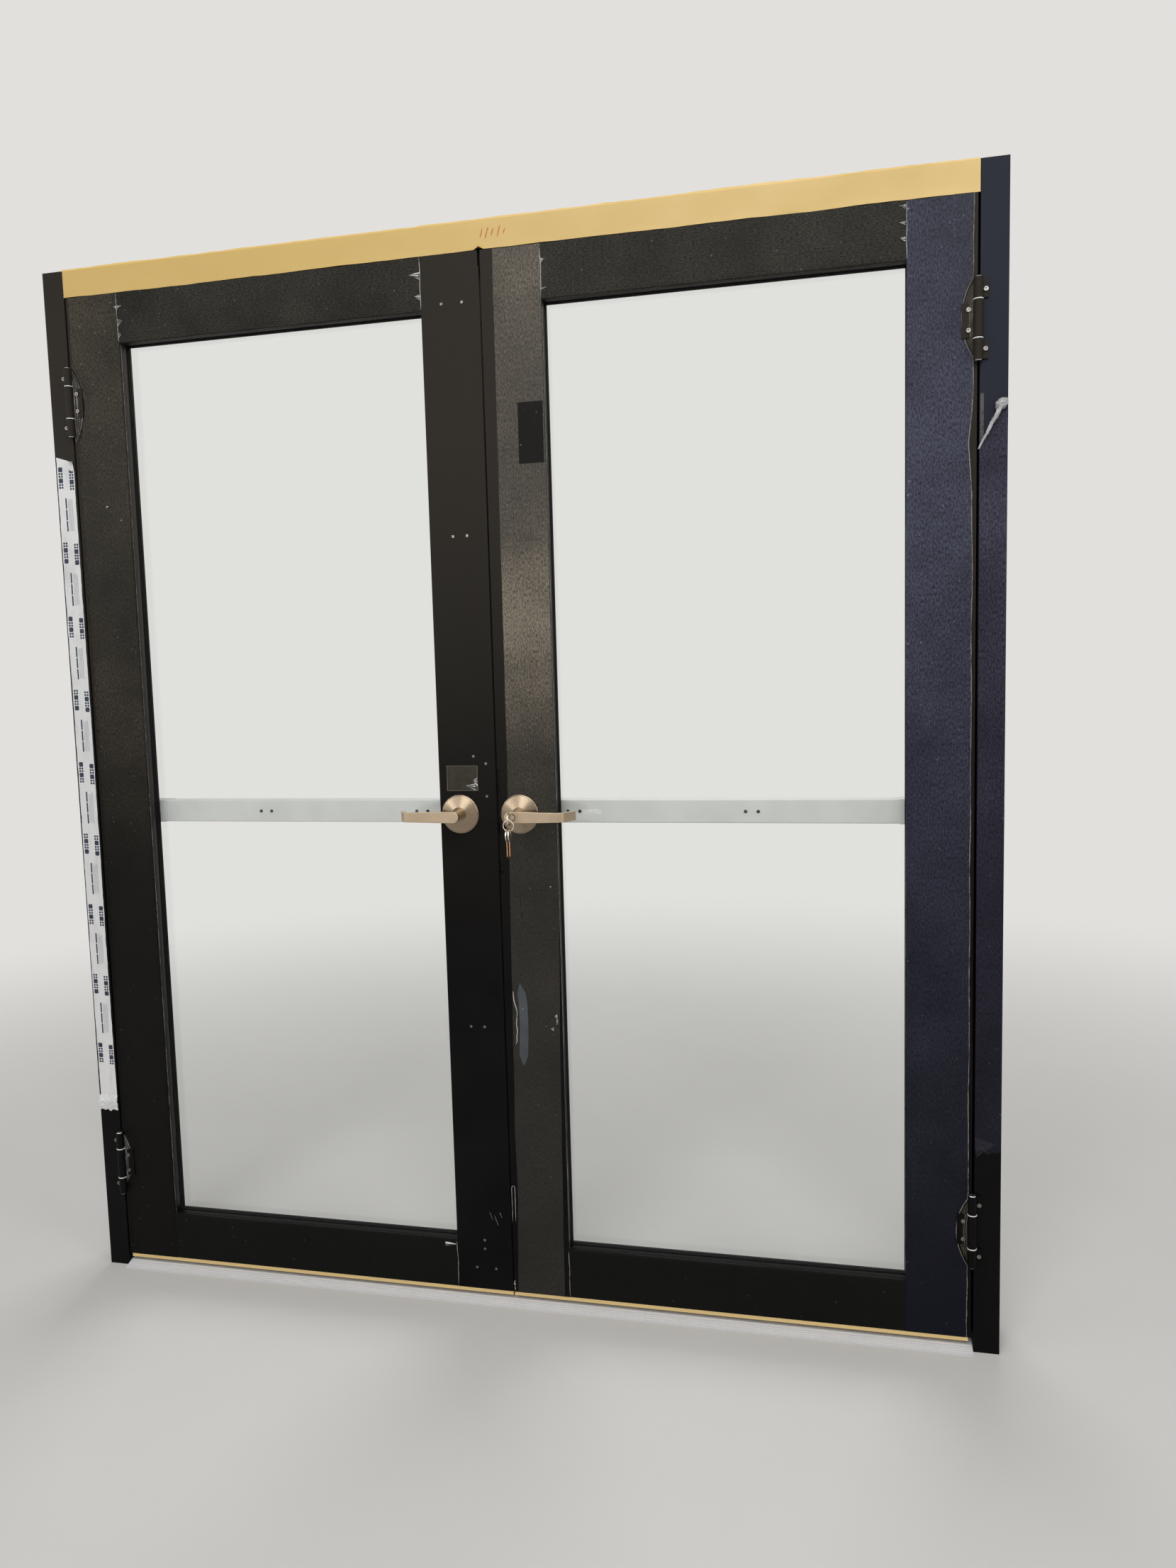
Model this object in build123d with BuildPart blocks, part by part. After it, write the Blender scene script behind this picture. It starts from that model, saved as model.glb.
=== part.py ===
from build123d import *
import os
from math import cos, radians, sin, tan

# A pair of glazed aluminium doors in their own frame. X runs across the doorway, Y runs through it
# and Z is up. The origin is on the floor, midway between the jambs and midway through the frame.
# The leaves open towards -Y. Every length is in millimetres.

# Frame
clear_width = 1830.0
frame_height = 2182.0
frame_depth = 114.0
jamb_face = 48.0
header_face = 52.0
frame_wall = 3.0
frame_corner = 1.2
web_place = 50.0

# Threshold saddle
saddle_height = 9.0
saddle_overhang = 16.0
saddle_ramp = 24.0
saddle_wall = 2.6
saddle_leg = 7.0
saddle_foot = 14.0
saddle_end_gap = 0.5
rib_count = 4
rib_depth = 0.9
rib_share = 0.45
rib_margin = 2.4

# Door stops and their seals
stop_proud = 16.0
stop_wall = 1.8
stop_front_wall = 4.2
seal_gap = 5.0
kerf_mouth = 3.4
kerf_room = 6.4
kerf_lip = 1.5
seal_clear = 0.3
kerf_floor = 1.0
seal_width = 8.0
seal_bore = 2.6

# Leaves
leaf_thickness = 45.0
hinge_gap = 4.0
meeting_gap = 3.0
head_gap = 3.0
floor_gap = 28.0
stile_width = 120.0
rail_height = 102.0
leaf_wall = 3.0
leaf_corner = 0.8

# Glazing
near_lip = 7.0
shoulder_end = 29.0
shoulder_recess = 2.0
shoulder_crown = 1.3
pocket_depth = 16.0
gasket_thickness = 1.5
glass_thickness = 6.0
glass_edge_gap = 3.0
glass_arris = 0.4
bead_wall = 1.3
bead_chamfer = 1.5
bead_joint = 0.15
gasket_inset = 1.0
gasket_show = 0.8

# Door bottom channel and sweep
channel_wall = 1.6
channel_drop = 8.0
channel_inset = 1.0
channel_end_gap = 5.0
sweep_thickness = 9.0
sweep_grip = 5.0
sweep_neck = 8.0
sweep_blade_top = 3.2
sweep_blade_tip = 2.4
sweep_floor_gap = 1.0

# Hinges
barrel_radius = 8.0
barrel_stand_off = 9.0
hinge_height = 140.0
hinge_end_knuckle = 36.0
washer_thickness = 1.6
washer_proud = 0.7
hinge_play = 0.05
pin_radius = 4.0
pin_play = 0.05
pin_head_height = 1.4
pin_head_taper = 25.0
plate_thickness = 4.0
plate_step = 3.0
frame_plate_reach = 18.0
door_plate_reach = 27.0
frame_screw_reach = 13.0
door_screw_reach = 16.0
frame_screw_spread = 101.0
door_screw_spread = 35.0
upper_hinge_drop = 216.0
lower_hinge_rise = 217.5

# Screws
screw_radius = 2.5
screw_head_radius = 4.5
screw_head_height = 3.0
screw_head_draft = 0.2
screw_socket_share = 0.44
screw_socket_depth = 1.6
screw_socket_floor = 0.3
screw_reach = 6.0
screw_play = 0.1
bolt_radius = 2.2
bolt_head_radius = 3.0
bolt_head_height = 1.6

# Anchor and sill fixings
anchor_radius = 4.25
anchor_access_radius = 7.0
anchor_depth_place = 25.0
anchor_end_distance = 200.0
anchor_pair_spacing = 600.0
header_anchor_spacing = 900.0
sill_screw_place = 42.0
sill_screw_radius = 2.75
sill_screw_sink_radius = 5.5
sill_outer_inset = 135.0
sill_inner_spacing = 600.0

# Push bars
hardware_height = 1037.0
left_axis_setback = 77.1
right_axis_setback = 45.5
head_case_height = 250.0
head_case_half_width = 38.0
head_case_depth = 54.0
case_wall = 2.5
case_fillet = 5.0
bar_height = 46.0
bar_depth = 42.0
bar_wall = 2.2
bar_lip = 3.5
bar_stand_off = 2.0
bar_fillet = 2.5
bar_hinge_end = 56.0
pad_length = 470.0
pad_play = 0.5
pad_depth = 30.0
pad_wall = 3.0
pad_rest_proud = 4.0
pad_crown = 7.0
end_cap_length = 73.0
end_cap_grip = 14.0
end_cap_proud = 1.0
end_cap_play = 0.1
bar_screw_first = 87.5
bar_screw_pair = 24.5
bar_screw_group = 357.0
bar_screw_radius = 2.0
bar_screw_head_radius = 3.5
bar_screw_head_height = 1.2

# Vertical rods and their latches
rod_setback = 56.5
rod_stand_off = 18.0
rod_radius = 5.5
rod_play = 0.1
shoot_radius = 6.5
shoot_length = 60.0
shoot_chamfer = 2.0
rod_rest_gap = 2.4
rod_floor_rest = 14.0
strike_thickness = 1.6
strike_length = 60.0
strike_width = 24.0
strike_corner = 4.0
strike_hole_play = 1.0
strike_screw_radius = 2.2
strike_screw_spread = 46.0
latch_case_width = 64.0
latch_case_depth = 30.0
top_case_height = 100.0
top_case_drop = 6.0
bottom_case_height = 105.0
bottom_case_rise = 14.0
guide_width = 46.0
guide_height = 22.0
guide_wall = 3.0
upper_guide_drop = 537.0
lower_guide_height = 596.0
rod_in_case = 40.0

# Mortise lock in the active leaf
lock_front_height = 210.0
lock_front_width = 22.0
lock_front_thickness = 3.0
lock_front_drop = 15.0
lock_front_near = 6.0
lock_case_height = 150.0
lock_case_depth = 88.0
lock_case_thickness = 18.0
lock_case_wall = 2.0
lock_case_play = 0.5
lock_mouth_depth = 4.0
lock_front_corner = 2.0
latch_height = 20.0
latch_thickness = 12.0
latch_length = 36.0
latch_set_back = 0.5
latch_nose = 2.0
latch_drop = 30.0
latch_play = 0.3
latch_bevel = 8.0
edge_notch_width = 5.5
slot_width = 4.0
slot_height = 83.0
slot_low = 177.0
slot_depth = 14.0
edge_strike_height = 124.0
edge_strike_width = 26.0
edge_strike_thickness = 2.4
edge_strike_corner = 3.0
edge_strike_side_play = 1.5
edge_strike_end_play = 2.0
top_notch_width = 2.0
top_notch_height = 29.0
top_notch_depth = 12.0

# Lever handles
rose_radius = 39.0
rose_rim = 2.6
rose_shoulder = 2.2
rose_shoulder_drop = 1.3
rose_shoulder_radius = 2.4
rose_height = 12.5
rose_collar_radius = 14.5
rose_collar_height = 3.0
lever_play = 0.08
hub_radius = 11.0
hub_clearance = 2.0
spindle_reach = 22.0
lever_projection = 60.0
lever_thickness = 9.0
lever_hub_overrun = 4.0
lever_hub_half_height = 11.6
lever_tip_half_height = 8.6
lever_length = 99.0
lever_return = 40.0
lever_return_angle = 25.0
lever_bend = 11.0
lever_edge = 1.0

# Key cylinder, keys and ring
plug_radius = 6.8
plug_play = 0.08
plug_length = 30.0
plug_end_gap = 1.0
plug_arris = 0.6
plug_ring_radius = 8.0
plug_ring_depth = 0.5
key_thickness = 2.2
key_slot_play = 0.1
key_plug_gap = 0.2
bow_radius = 12.5
bow_hole_radius = 3.4
bow_hole_offset = 6.4
key_neck = 4.0
key_neck_widening = 0.8
key_blade_width = 8.4
key_blade_length = 28.0
key_tip = 4.0
key_first_cut = 6.5
key_cut_room = 20.0
key_cut_half_share = 0.32
key_cut_count = 5
key_cut_depth = 2.2
key_cut_least = 0.6
key_cut_turn = 2.1
ring_radius = 10.5
ring_wire = 0.9
ring_rest_gap = 0.4
spare_key_spacing = 5.2

# Through bolts on the inactive lock stile: distances from the rod's line and heights above the floor
latch_bolt_spread = 42.0
guide_bolt_spread = 29.0
top_bolt_drop = 93.0
bottom_bolt_height = 75.0
bottom_extra_heights = (136.0, 117.0)
bottom_extra_side = 2.0
case_bolt_rise = 117.0
case_bolt_side = 32.0
edge_bolt_setback = 19.5
edge_bolt_rises = (102.0, 36.0)

# Places worked out from the sizes above
near = -frame_depth / 2
far = frame_depth / 2
leaf_far = near + leaf_thickness
stop_front = leaf_far + seal_gap
stop_depth = far - stop_front
jamb_inner = clear_width / 2
jamb_outer = jamb_inner + jamb_face
head_under = frame_height - header_face
leaf_edge = jamb_inner - hinge_gap
lock_edge = meeting_gap / 2
leaf_top = head_under - head_gap
leaf_bottom = floor_gap
top_bolt_height = leaf_top - top_bolt_drop
upper_guide_height = leaf_top - upper_guide_drop
lite_top = leaf_top - rail_height
lite_bottom = leaf_bottom + rail_height
lite_outer = leaf_edge - stile_width
lite_inner = lock_edge + stile_width
bead_front = shoulder_end + 2 * gasket_thickness + glass_thickness
stop_under = head_under - stop_proud
hinge_axis_x = leaf_edge
hinge_axis_y = near - barrel_stand_off
hinge_centres = (leaf_top - upper_hinge_drop, leaf_bottom + lower_hinge_rise)
left_axis = -(lock_edge + left_axis_setback)
right_axis = lock_edge + right_axis_setback
rod_x = -(lock_edge + rod_setback)
rod_y = leaf_far + rod_stand_off
bar_back = leaf_far + bar_stand_off
bar_end = leaf_edge - bar_hinge_end
lock_centre = hardware_height - lock_front_drop
latch_centre = hardware_height - latch_drop
lever_front = near - lever_projection
lever_back = lever_front + lever_thickness


def cross(a, b):
    """The vector product of two directions."""
    return (a[1] * b[2] - a[2] * b[1], a[2] * b[0] - a[0] * b[2], a[0] * b[1] - a[1] * b[0])


def section_plane(origin, across, deep):
    """A plane whose first axis runs across a section and whose second runs through its depth."""
    return Plane(origin=origin, x_dir=across, z_dir=cross(across, deep))


def face_plane(depth):
    """A plane seen from the front, X to the right and Z up, whose normal points to -Y."""
    return Plane(origin=(0, depth, 0), x_dir=(1, 0, 0), z_dir=(0, -1, 0))


def block(low, high, mode=Mode.ADD):
    """A rectangular block between two corners."""
    centre = tuple((a + b) / 2 for a, b in zip(low, high))
    size = [abs(b - a) for a, b in zip(low, high)]
    with Locations(centre):
        Box(*size, mode=mode)


def rectangle(u0, v0, u1, v1, mode=Mode.ADD):
    """A rectangle between two corners of the sketch."""
    with Locations(((u0 + u1) / 2, (v0 + v1) / 2)):
        Rectangle(abs(u1 - u0), abs(v1 - v0), mode=mode)


def save(piece, name):
    """Label a finished piece and write it to its own file."""
    piece.part.label = name
    export_step(piece.part, "parts/" + name + ".step")


# Frame members


def make_jamb(side):
    """A full-height tube with a web behind the stop and anchor holes that the stop covers."""
    base = section_plane((side * jamb_inner, near, 0), (1, 0, 0), (0, 1, 0))
    edge = side * jamb_face
    with BuildPart() as jamb:
        with BuildSketch(base) as section:
            rectangle(0, 0, edge, frame_depth)
            fillet(section.vertices(), frame_corner)
            rectangle(
                side * frame_wall, frame_wall,
                edge - side * frame_wall, web_place - frame_wall / 2, mode=Mode.SUBTRACT)
            rectangle(
                side * frame_wall, web_place + frame_wall / 2,
                edge - side * frame_wall, frame_depth - frame_wall, mode=Mode.SUBTRACT)
        extrude(amount=frame_height)
        for height in anchor_heights():
            wall_hole((side * jamb_outer, anchor_depth_place, height), (side, 0, 0),
                      anchor_radius, 2 * frame_wall)
            wall_hole((side * jamb_inner, anchor_depth_place, height), (side, 0, 0),
                      anchor_access_radius, 2 * frame_wall)
        for centre in hinge_centres:
            for shift in (-frame_screw_spread / 2, frame_screw_spread / 2):
                wall_hole((side * (hinge_axis_x + frame_screw_reach), near, centre + shift),
                          (0, 1, 0), screw_radius + screw_play, 2 * frame_wall)
    return jamb


def wall_hole(centre, axis, radius, length):
    """A round hole through one wall, its middle on the wall's face."""
    with Locations(Plane(origin=centre, z_dir=axis)):
        Cylinder(radius, length, mode=Mode.SUBTRACT)


def anchor_heights():
    """The heights of the jambs' wall anchors, a pair near each end."""
    low = (anchor_end_distance, anchor_end_distance + anchor_pair_spacing)
    high = (frame_height - anchor_end_distance - anchor_pair_spacing, frame_height - anchor_end_distance)
    return low + high


def make_header():
    """The head member, a tube between the jambs."""
    base = section_plane((-jamb_inner, near, frame_height), (0, 0, -1), (0, 1, 0))
    with BuildPart() as header:
        with BuildSketch(base) as section:
            rectangle(0, 0, header_face, frame_depth)
            fillet(section.vertices(), frame_corner)
            rectangle(frame_wall, frame_wall, header_face - frame_wall,
                      web_place - frame_wall / 2, mode=Mode.SUBTRACT)
            rectangle(frame_wall, web_place + frame_wall / 2, header_face - frame_wall,
                      frame_depth - frame_wall, mode=Mode.SUBTRACT)
        extrude(amount=clear_width)
        for place in (-header_anchor_spacing / 2, header_anchor_spacing / 2):
            wall_hole((place, anchor_depth_place, frame_height), (0, 0, 1), anchor_radius, 2 * frame_wall)
            wall_hole((place, anchor_depth_place, head_under), (0, 0, 1),
                      anchor_access_radius, 2 * frame_wall)
    return header


def saddle_outline():
    """Half of the threshold's top line, from the floor edge to the crown, with its ribbed ramp."""
    reach = frame_depth / 2 + saddle_overhang
    slope = (saddle_height - rib_depth) / saddle_ramp
    points = [(reach, 0), (reach, rib_depth)]
    pitch = (saddle_ramp - 2 * rib_margin) / rib_count
    for number in range(rib_count):
        start = rib_margin + number * pitch + pitch * (1 - rib_share) / 2
        finish = start + pitch * rib_share
        top_start = rib_depth + slope * start
        top_finish = rib_depth + slope * finish
        points.append((reach - start, top_start))
        points.append((reach - start, top_start - rib_depth * 0.7))
        points.append((reach - finish, top_finish - rib_depth * 0.7))
        points.append((reach - finish, top_finish))
    points.append((reach - saddle_ramp, saddle_height))
    return points


def make_threshold():
    """A saddle with ribbed ramps, hollow between its legs, drilled for screws and the lower bolt."""
    base = section_plane((-jamb_inner + saddle_end_gap, 0, 0), (0, 1, 0), (0, 0, 1))
    half = saddle_outline()
    outline = half + [(-u, v) for u, v in reversed(half)]
    inner = frame_depth / 2 + saddle_overhang - saddle_ramp
    with BuildPart() as threshold:
        with BuildSketch(base) as section:
            with BuildLine():
                Polyline(*outline, close=True)
            make_face()
            for low, high in ((saddle_leg, inner - saddle_foot), (saddle_foot - inner, -saddle_leg)):
                rectangle(low, 0, high, saddle_height - saddle_wall, mode=Mode.SUBTRACT)
        extrude(amount=clear_width - 2 * saddle_end_gap)
        outer = jamb_inner - sill_outer_inset
        inner_place = sill_inner_spacing / 2
        for place in (-outer, -inner_place, inner_place, outer):
            with Locations((place, sill_screw_place, saddle_height)):
                CounterSinkHole(sill_screw_radius, sill_screw_sink_radius, depth=saddle_height)
        block((rod_x - strike_length / 2, rod_y - strike_width / 2, saddle_height - strike_thickness),
              (rod_x + strike_length / 2, rod_y + strike_width / 2, saddle_height + 1),
              mode=Mode.SUBTRACT)
        with BuildSketch(Plane.XY):
            with Locations((rod_x, rod_y)):
                Circle(shoot_radius + 2 * strike_hole_play)
        extrude(amount=saddle_height, mode=Mode.SUBTRACT)
    return threshold


def make_strikes():
    """Two flat strike plates with the holes that the rods' bolts shoot into, overhead and underfoot."""
    with BuildPart() as strikes:
        for low_z in (stop_under - strike_thickness, saddle_height - strike_thickness):
            with BuildSketch(Plane((rod_x, rod_y, low_z))):
                RectangleRounded(strike_length, strike_width, strike_corner)
                Circle(shoot_radius + strike_hole_play, mode=Mode.SUBTRACT)
                with Locations((-strike_screw_spread / 2, 0), (strike_screw_spread / 2, 0)):
                    Circle(strike_screw_radius, mode=Mode.SUBTRACT)
            extrude(amount=strike_thickness)
    return strikes


# Door stops and seals


def stop_profile():
    """The stop's channel, open to the frame, with a T-shaped kerf for the seal in its front wall."""
    middle = stop_proud / 2
    rectangle(0, 0, stop_proud, stop_depth)
    rectangle(-1, stop_front_wall, stop_proud - stop_wall, stop_depth - stop_wall, mode=Mode.SUBTRACT)
    rectangle(middle - kerf_mouth / 2, -1, middle + kerf_mouth / 2, kerf_lip, mode=Mode.SUBTRACT)
    rectangle(middle - kerf_room / 2, kerf_lip, middle + kerf_room / 2,
              stop_front_wall - kerf_floor, mode=Mode.SUBTRACT)


def seal_profile():
    """A hollow bulb on a T-shaped foot that fills the kerf."""
    middle = stop_proud / 2
    bulb = seal_gap - seal_clear
    with Locations((middle, -bulb / 2)):
        RectangleRounded(seal_width, bulb, bulb / 2 - 0.05)
    rectangle(middle - kerf_mouth / 2, -bulb / 2, middle + kerf_mouth / 2, kerf_lip)
    rectangle(middle - kerf_room / 2, kerf_lip, middle + kerf_room / 2, stop_front_wall - kerf_floor)
    with Locations((middle, -bulb / 2)):
        Circle(seal_bore / 2, mode=Mode.SUBTRACT)


def side_plane(side):
    """The section plane of a side stop, its first axis pointing into the doorway."""
    height = saddle_height if side < 0 else stop_under
    return section_plane((side * jamb_inner, stop_front, height), (-side, 0, 0), (0, 1, 0))


def make_side_stop(side):
    with BuildPart() as stop:
        with BuildSketch(side_plane(side)):
            stop_profile()
        extrude(amount=stop_under - saddle_height)
    return stop


def head_plane():
    """The section plane of the head stop, its first axis pointing down."""
    return section_plane((-jamb_inner, stop_front, head_under), (0, 0, -1), (0, 1, 0))


def make_header_stop():
    with BuildPart() as stop:
        with BuildSketch(head_plane()):
            stop_profile()
        extrude(amount=clear_width)
        with BuildSketch(Plane.XY.offset(stop_under - 1)):
            with Locations((rod_x, rod_y)):
                Circle(shoot_radius + 2 * strike_hole_play)
        extrude(amount=2 * stop_wall, mode=Mode.SUBTRACT)
    return stop


def make_seals():
    """Three strips of seal: one up each side and one along the head."""
    with BuildPart() as seals:
        for side in (-1, 1):
            with BuildSketch(side_plane(side)):
                seal_profile()
            extrude(amount=stop_under - saddle_height)
        with BuildSketch(head_plane()):
            seal_profile()
        extrude(amount=clear_width)
    return seals


# Leaf members


def member_profile(width):
    """A hollow member: its main tube and the narrow cell behind the glazing shoulder."""
    rectangle(0, 0, width, leaf_thickness)
    main_end = width - pocket_depth - leaf_wall
    rectangle(leaf_wall, leaf_wall, main_end, leaf_thickness - leaf_wall, mode=Mode.SUBTRACT)
    rectangle(width - pocket_depth, leaf_wall, width - shoulder_recess - leaf_wall,
              shoulder_end - leaf_wall, mode=Mode.SUBTRACT)


def pocket_profile(width):
    """What is cut for the glass: a crowned shoulder in front and the glass pocket behind."""
    shoulder = width - shoulder_recess
    middle = (near_lip + shoulder_end) / 2
    with BuildLine() as outline:
        Polyline((shoulder, near_lip), (width + 1, near_lip), (width + 1, leaf_thickness + 1),
                 (width - pocket_depth, leaf_thickness + 1), (width - pocket_depth, shoulder_end),
                 (shoulder, shoulder_end))
        ThreePointArc((shoulder, shoulder_end), (shoulder + shoulder_crown, middle),
                      (shoulder, near_lip))
    make_face(outline.edges())


def make_stile(side, outer):
    """A stile from its outer edge, at the hinges or at the meeting line, to the glass."""
    across = (1, 0, 0) if outer < side * (lite_outer + lite_inner) / 2 else (-1, 0, 0)
    low = section_plane((outer, near, leaf_bottom), across, (0, 1, 0))
    normal = low.z_dir.Z
    start = leaf_bottom if normal > 0 else leaf_top
    base = section_plane((outer, near, start), across, (0, 1, 0))
    cut_start = lite_bottom - pocket_depth if normal > 0 else lite_top + pocket_depth
    pocket_base = section_plane((outer, near, cut_start), across, (0, 1, 0))
    with BuildPart() as stile:
        with BuildSketch(base):
            member_profile(stile_width)
        extrude(amount=leaf_top - leaf_bottom)
        with BuildSketch(pocket_base):
            pocket_profile(stile_width)
        extrude(amount=lite_top - lite_bottom + 2 * pocket_depth, mode=Mode.SUBTRACT)
        long_edges = stile.edges().filter_by(Axis.Z).filter_by(
            lambda edge: abs(edge.center().Y - near) < 0.01 or abs(edge.center().X - outer) < 0.01)
        fillet(long_edges, leaf_corner)
    return stile.part


def make_rail(side, top):
    """A rail between the stiles, with its glass pocket facing the lite."""
    down = (0, 0, -1) if top else (0, 0, 1)
    height = leaf_top if top else leaf_bottom
    low = min(side * lite_inner, side * lite_outer)
    high = max(side * lite_inner, side * lite_outer)
    trial = section_plane((low, near, height), down, (0, 1, 0))
    start = low if trial.z_dir.X > 0 else high
    base = section_plane((start, near, height), down, (0, 1, 0))
    with BuildPart() as rail:
        with BuildSketch(base):
            member_profile(rail_height)
        extrude(amount=high - low)
        with BuildSketch(base):
            pocket_profile(rail_height)
        extrude(amount=high - low, mode=Mode.SUBTRACT)
        face_edges = rail.edges().filter_by(Axis.X).filter_by(
            lambda edge: abs(edge.center().Y - near) < 0.01)
        fillet(face_edges, leaf_corner)
    return rail


def lite_sketch(side, grow):
    """A rectangle over the lite, grown on every side."""
    with Locations((side * (lite_outer + lite_inner) / 2, (lite_top + lite_bottom) / 2)):
        Rectangle(lite_outer - lite_inner + 2 * grow, lite_top - lite_bottom + 2 * grow)


def make_glass(side):
    """One pane of clear safety glass, its edges ground."""
    with BuildPart() as glass:
        with BuildSketch(face_plane(near + shoulder_end + gasket_thickness + glass_thickness)):
            lite_sketch(side, pocket_depth - glass_edge_gap)
        extrude(amount=glass_thickness)
        chamfer(glass.faces().sort_by(Axis.Y)[0].edges(), glass_arris)
    return glass


def make_gaskets(side):
    """A dry gasket ring on each face of the glass."""
    with BuildPart() as gaskets:
        for depth in (near + shoulder_end + gasket_thickness, near + bead_front):
            with BuildSketch(face_plane(depth)):
                lite_sketch(side, pocket_depth - glass_edge_gap - gasket_inset)
                with Locations((side * (lite_outer + lite_inner) / 2, (lite_top + lite_bottom) / 2)):
                    Rectangle(lite_outer - lite_inner - 2 * gasket_show,
                              lite_top - lite_bottom - 2 * gasket_show, mode=Mode.SUBTRACT)
            extrude(amount=gasket_thickness)
    return gaskets


def bead_profile():
    """A hollow glazing bead, from the pocket's floor to the sight line, chamfered behind."""
    depth = leaf_thickness - bead_front
    Polygon((0, 0), (pocket_depth, 0), (pocket_depth, depth - bead_chamfer),
            (pocket_depth - bead_chamfer, depth), (0, depth))
    rectangle(bead_wall, bead_wall, pocket_depth - bead_wall - bead_chamfer, depth - bead_wall,
              mode=Mode.SUBTRACT)


def make_beads(side):
    """Four snap-in beads: the uprights run past the ends of the level ones."""
    left = min(side * lite_inner, side * lite_outer)
    right = max(side * lite_inner, side * lite_outer)
    depth = near + bead_front
    with BuildPart() as beads:
        length = lite_top - lite_bottom + 2 * pocket_depth
        with BuildSketch(section_plane((left - pocket_depth, depth, lite_bottom - pocket_depth),
                                       (1, 0, 0), (0, 1, 0))):
            bead_profile()
        extrude(amount=length)
        with BuildSketch(section_plane((right + pocket_depth, depth, lite_top + pocket_depth),
                                       (-1, 0, 0), (0, 1, 0))):
            bead_profile()
        extrude(amount=length)
        with BuildSketch(section_plane((left + bead_joint, depth, lite_top + pocket_depth),
                                       (0, 0, -1), (0, 1, 0))):
            bead_profile()
        extrude(amount=right - left - 2 * bead_joint)
        with BuildSketch(section_plane((right - bead_joint, depth, lite_bottom - pocket_depth),
                                       (0, 0, 1), (0, 1, 0))):
            bead_profile()
        extrude(amount=right - left - 2 * bead_joint)
    return beads


def channel_span(side):
    """Where the bottom channel starts and ends, short of the hinge edge."""
    return (min(side * lock_edge, side * (leaf_edge - channel_end_gap)),
            max(side * lock_edge, side * (leaf_edge - channel_end_gap)))


def make_bottom_channel(side):
    """A channel under the leaf, open downwards."""
    low, high = channel_span(side)
    base = section_plane((low, near + channel_inset, leaf_bottom), (0, 1, 0), (0, 0, 1))
    width = leaf_thickness - 2 * channel_inset
    with BuildPart() as channel:
        with BuildSketch(base):
            rectangle(0, -channel_drop, width, 0)
            rectangle(channel_wall, -channel_drop - 1, width - channel_wall, -channel_wall,
                      mode=Mode.SUBTRACT)
        extrude(amount=high - low)
    return channel


def make_sweep(side):
    """A rubber blade in the channel, its lip just clear of the threshold."""
    low, high = channel_span(side)
    middle = (near + leaf_far) / 2
    top = leaf_bottom - channel_wall
    bottom = saddle_height + sweep_floor_gap
    half = sweep_thickness / 2
    neck = sweep_blade_top / 2
    tip = sweep_blade_tip / 2
    base = section_plane((low, middle, 0), (0, 1, 0), (0, 0, 1))
    with BuildPart() as sweep:
        with BuildSketch(base):
            with BuildLine():
                Polyline((-half, top), (-half, top - sweep_grip), (-neck, top - sweep_neck),
                         (-tip, bottom), (tip, bottom), (neck, top - sweep_neck),
                         (half, top - sweep_grip), (half, top), close=True)
            make_face()
        extrude(amount=high - low)
    return sweep


# Hinges


def flap_profile(outward, reach, inner_gap):
    """A knuckle's circle with its plate, which lies on the face of the jamb or the leaf."""
    face = barrel_stand_off
    step = face - plate_thickness
    Circle(barrel_radius)
    Polygon((0, 0), (outward * barrel_radius, 0), (outward * barrel_radius, step),
            (outward * reach, step), (outward * reach, face),
            (outward * inner_gap, face), (outward * inner_gap, step - 0.5))
    Circle(pin_radius + pin_play, mode=Mode.SUBTRACT)


def make_flap(side, toward, reach, inner_gap, low, high, screws):
    """One flap: a knuckle from low to high and a plate that is a little shorter."""
    base = section_plane((side * hinge_axis_x, hinge_axis_y, low), (1, 0, 0), (0, 1, 0))
    outward = side * toward
    with BuildPart() as flap:
        with BuildSketch(base):
            flap_profile(outward, reach, inner_gap)
        extrude(amount=high - low)
        for start, finish in ((low, low + plate_step), (high - plate_step, high)):
            block((side * hinge_axis_x + outward * barrel_radius, hinge_axis_y - barrel_radius, start),
                  (side * hinge_axis_x + outward * (reach + 1), near, finish), mode=Mode.SUBTRACT)
        for height in screws:
            wall_hole((screw_x(side, toward), near, height), (0, 1, 0),
                      screw_radius + screw_play, 4 * plate_thickness)
    return flap.part


def screw_x(side, toward):
    """Where a hinge plate's screws stand: on the jamb or on the leaf."""
    reach = frame_screw_reach if toward > 0 else -door_screw_reach
    return side * (hinge_axis_x + reach)


def make_frame_flaps():
    """The upper and lower knuckles of all four hinges, fixed to the jambs."""
    with BuildPart() as flaps:
        for side in (-1, 1):
            for centre in hinge_centres:
                low = centre - hinge_height / 2
                high = centre + hinge_height / 2
                spread = frame_screw_spread / 2
                add(make_flap(side, 1, frame_plate_reach, hinge_gap + 0.5,
                              low, low + hinge_end_knuckle, (centre - spread,)))
                add(make_flap(side, 1, frame_plate_reach, hinge_gap + 0.5,
                              high - hinge_end_knuckle, high, (centre + spread,)))
    return flaps


def make_door_flaps(side):
    """The middle knuckles of one leaf's two hinges."""
    with BuildPart() as flaps:
        for centre in hinge_centres:
            half = hinge_height / 2 - hinge_end_knuckle - washer_thickness - hinge_play
            spread = door_screw_spread / 2
            add(make_flap(side, -1, door_plate_reach, 0.5, centre - half, centre + half,
                          (centre - spread, centre + spread)))
    return flaps


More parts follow.
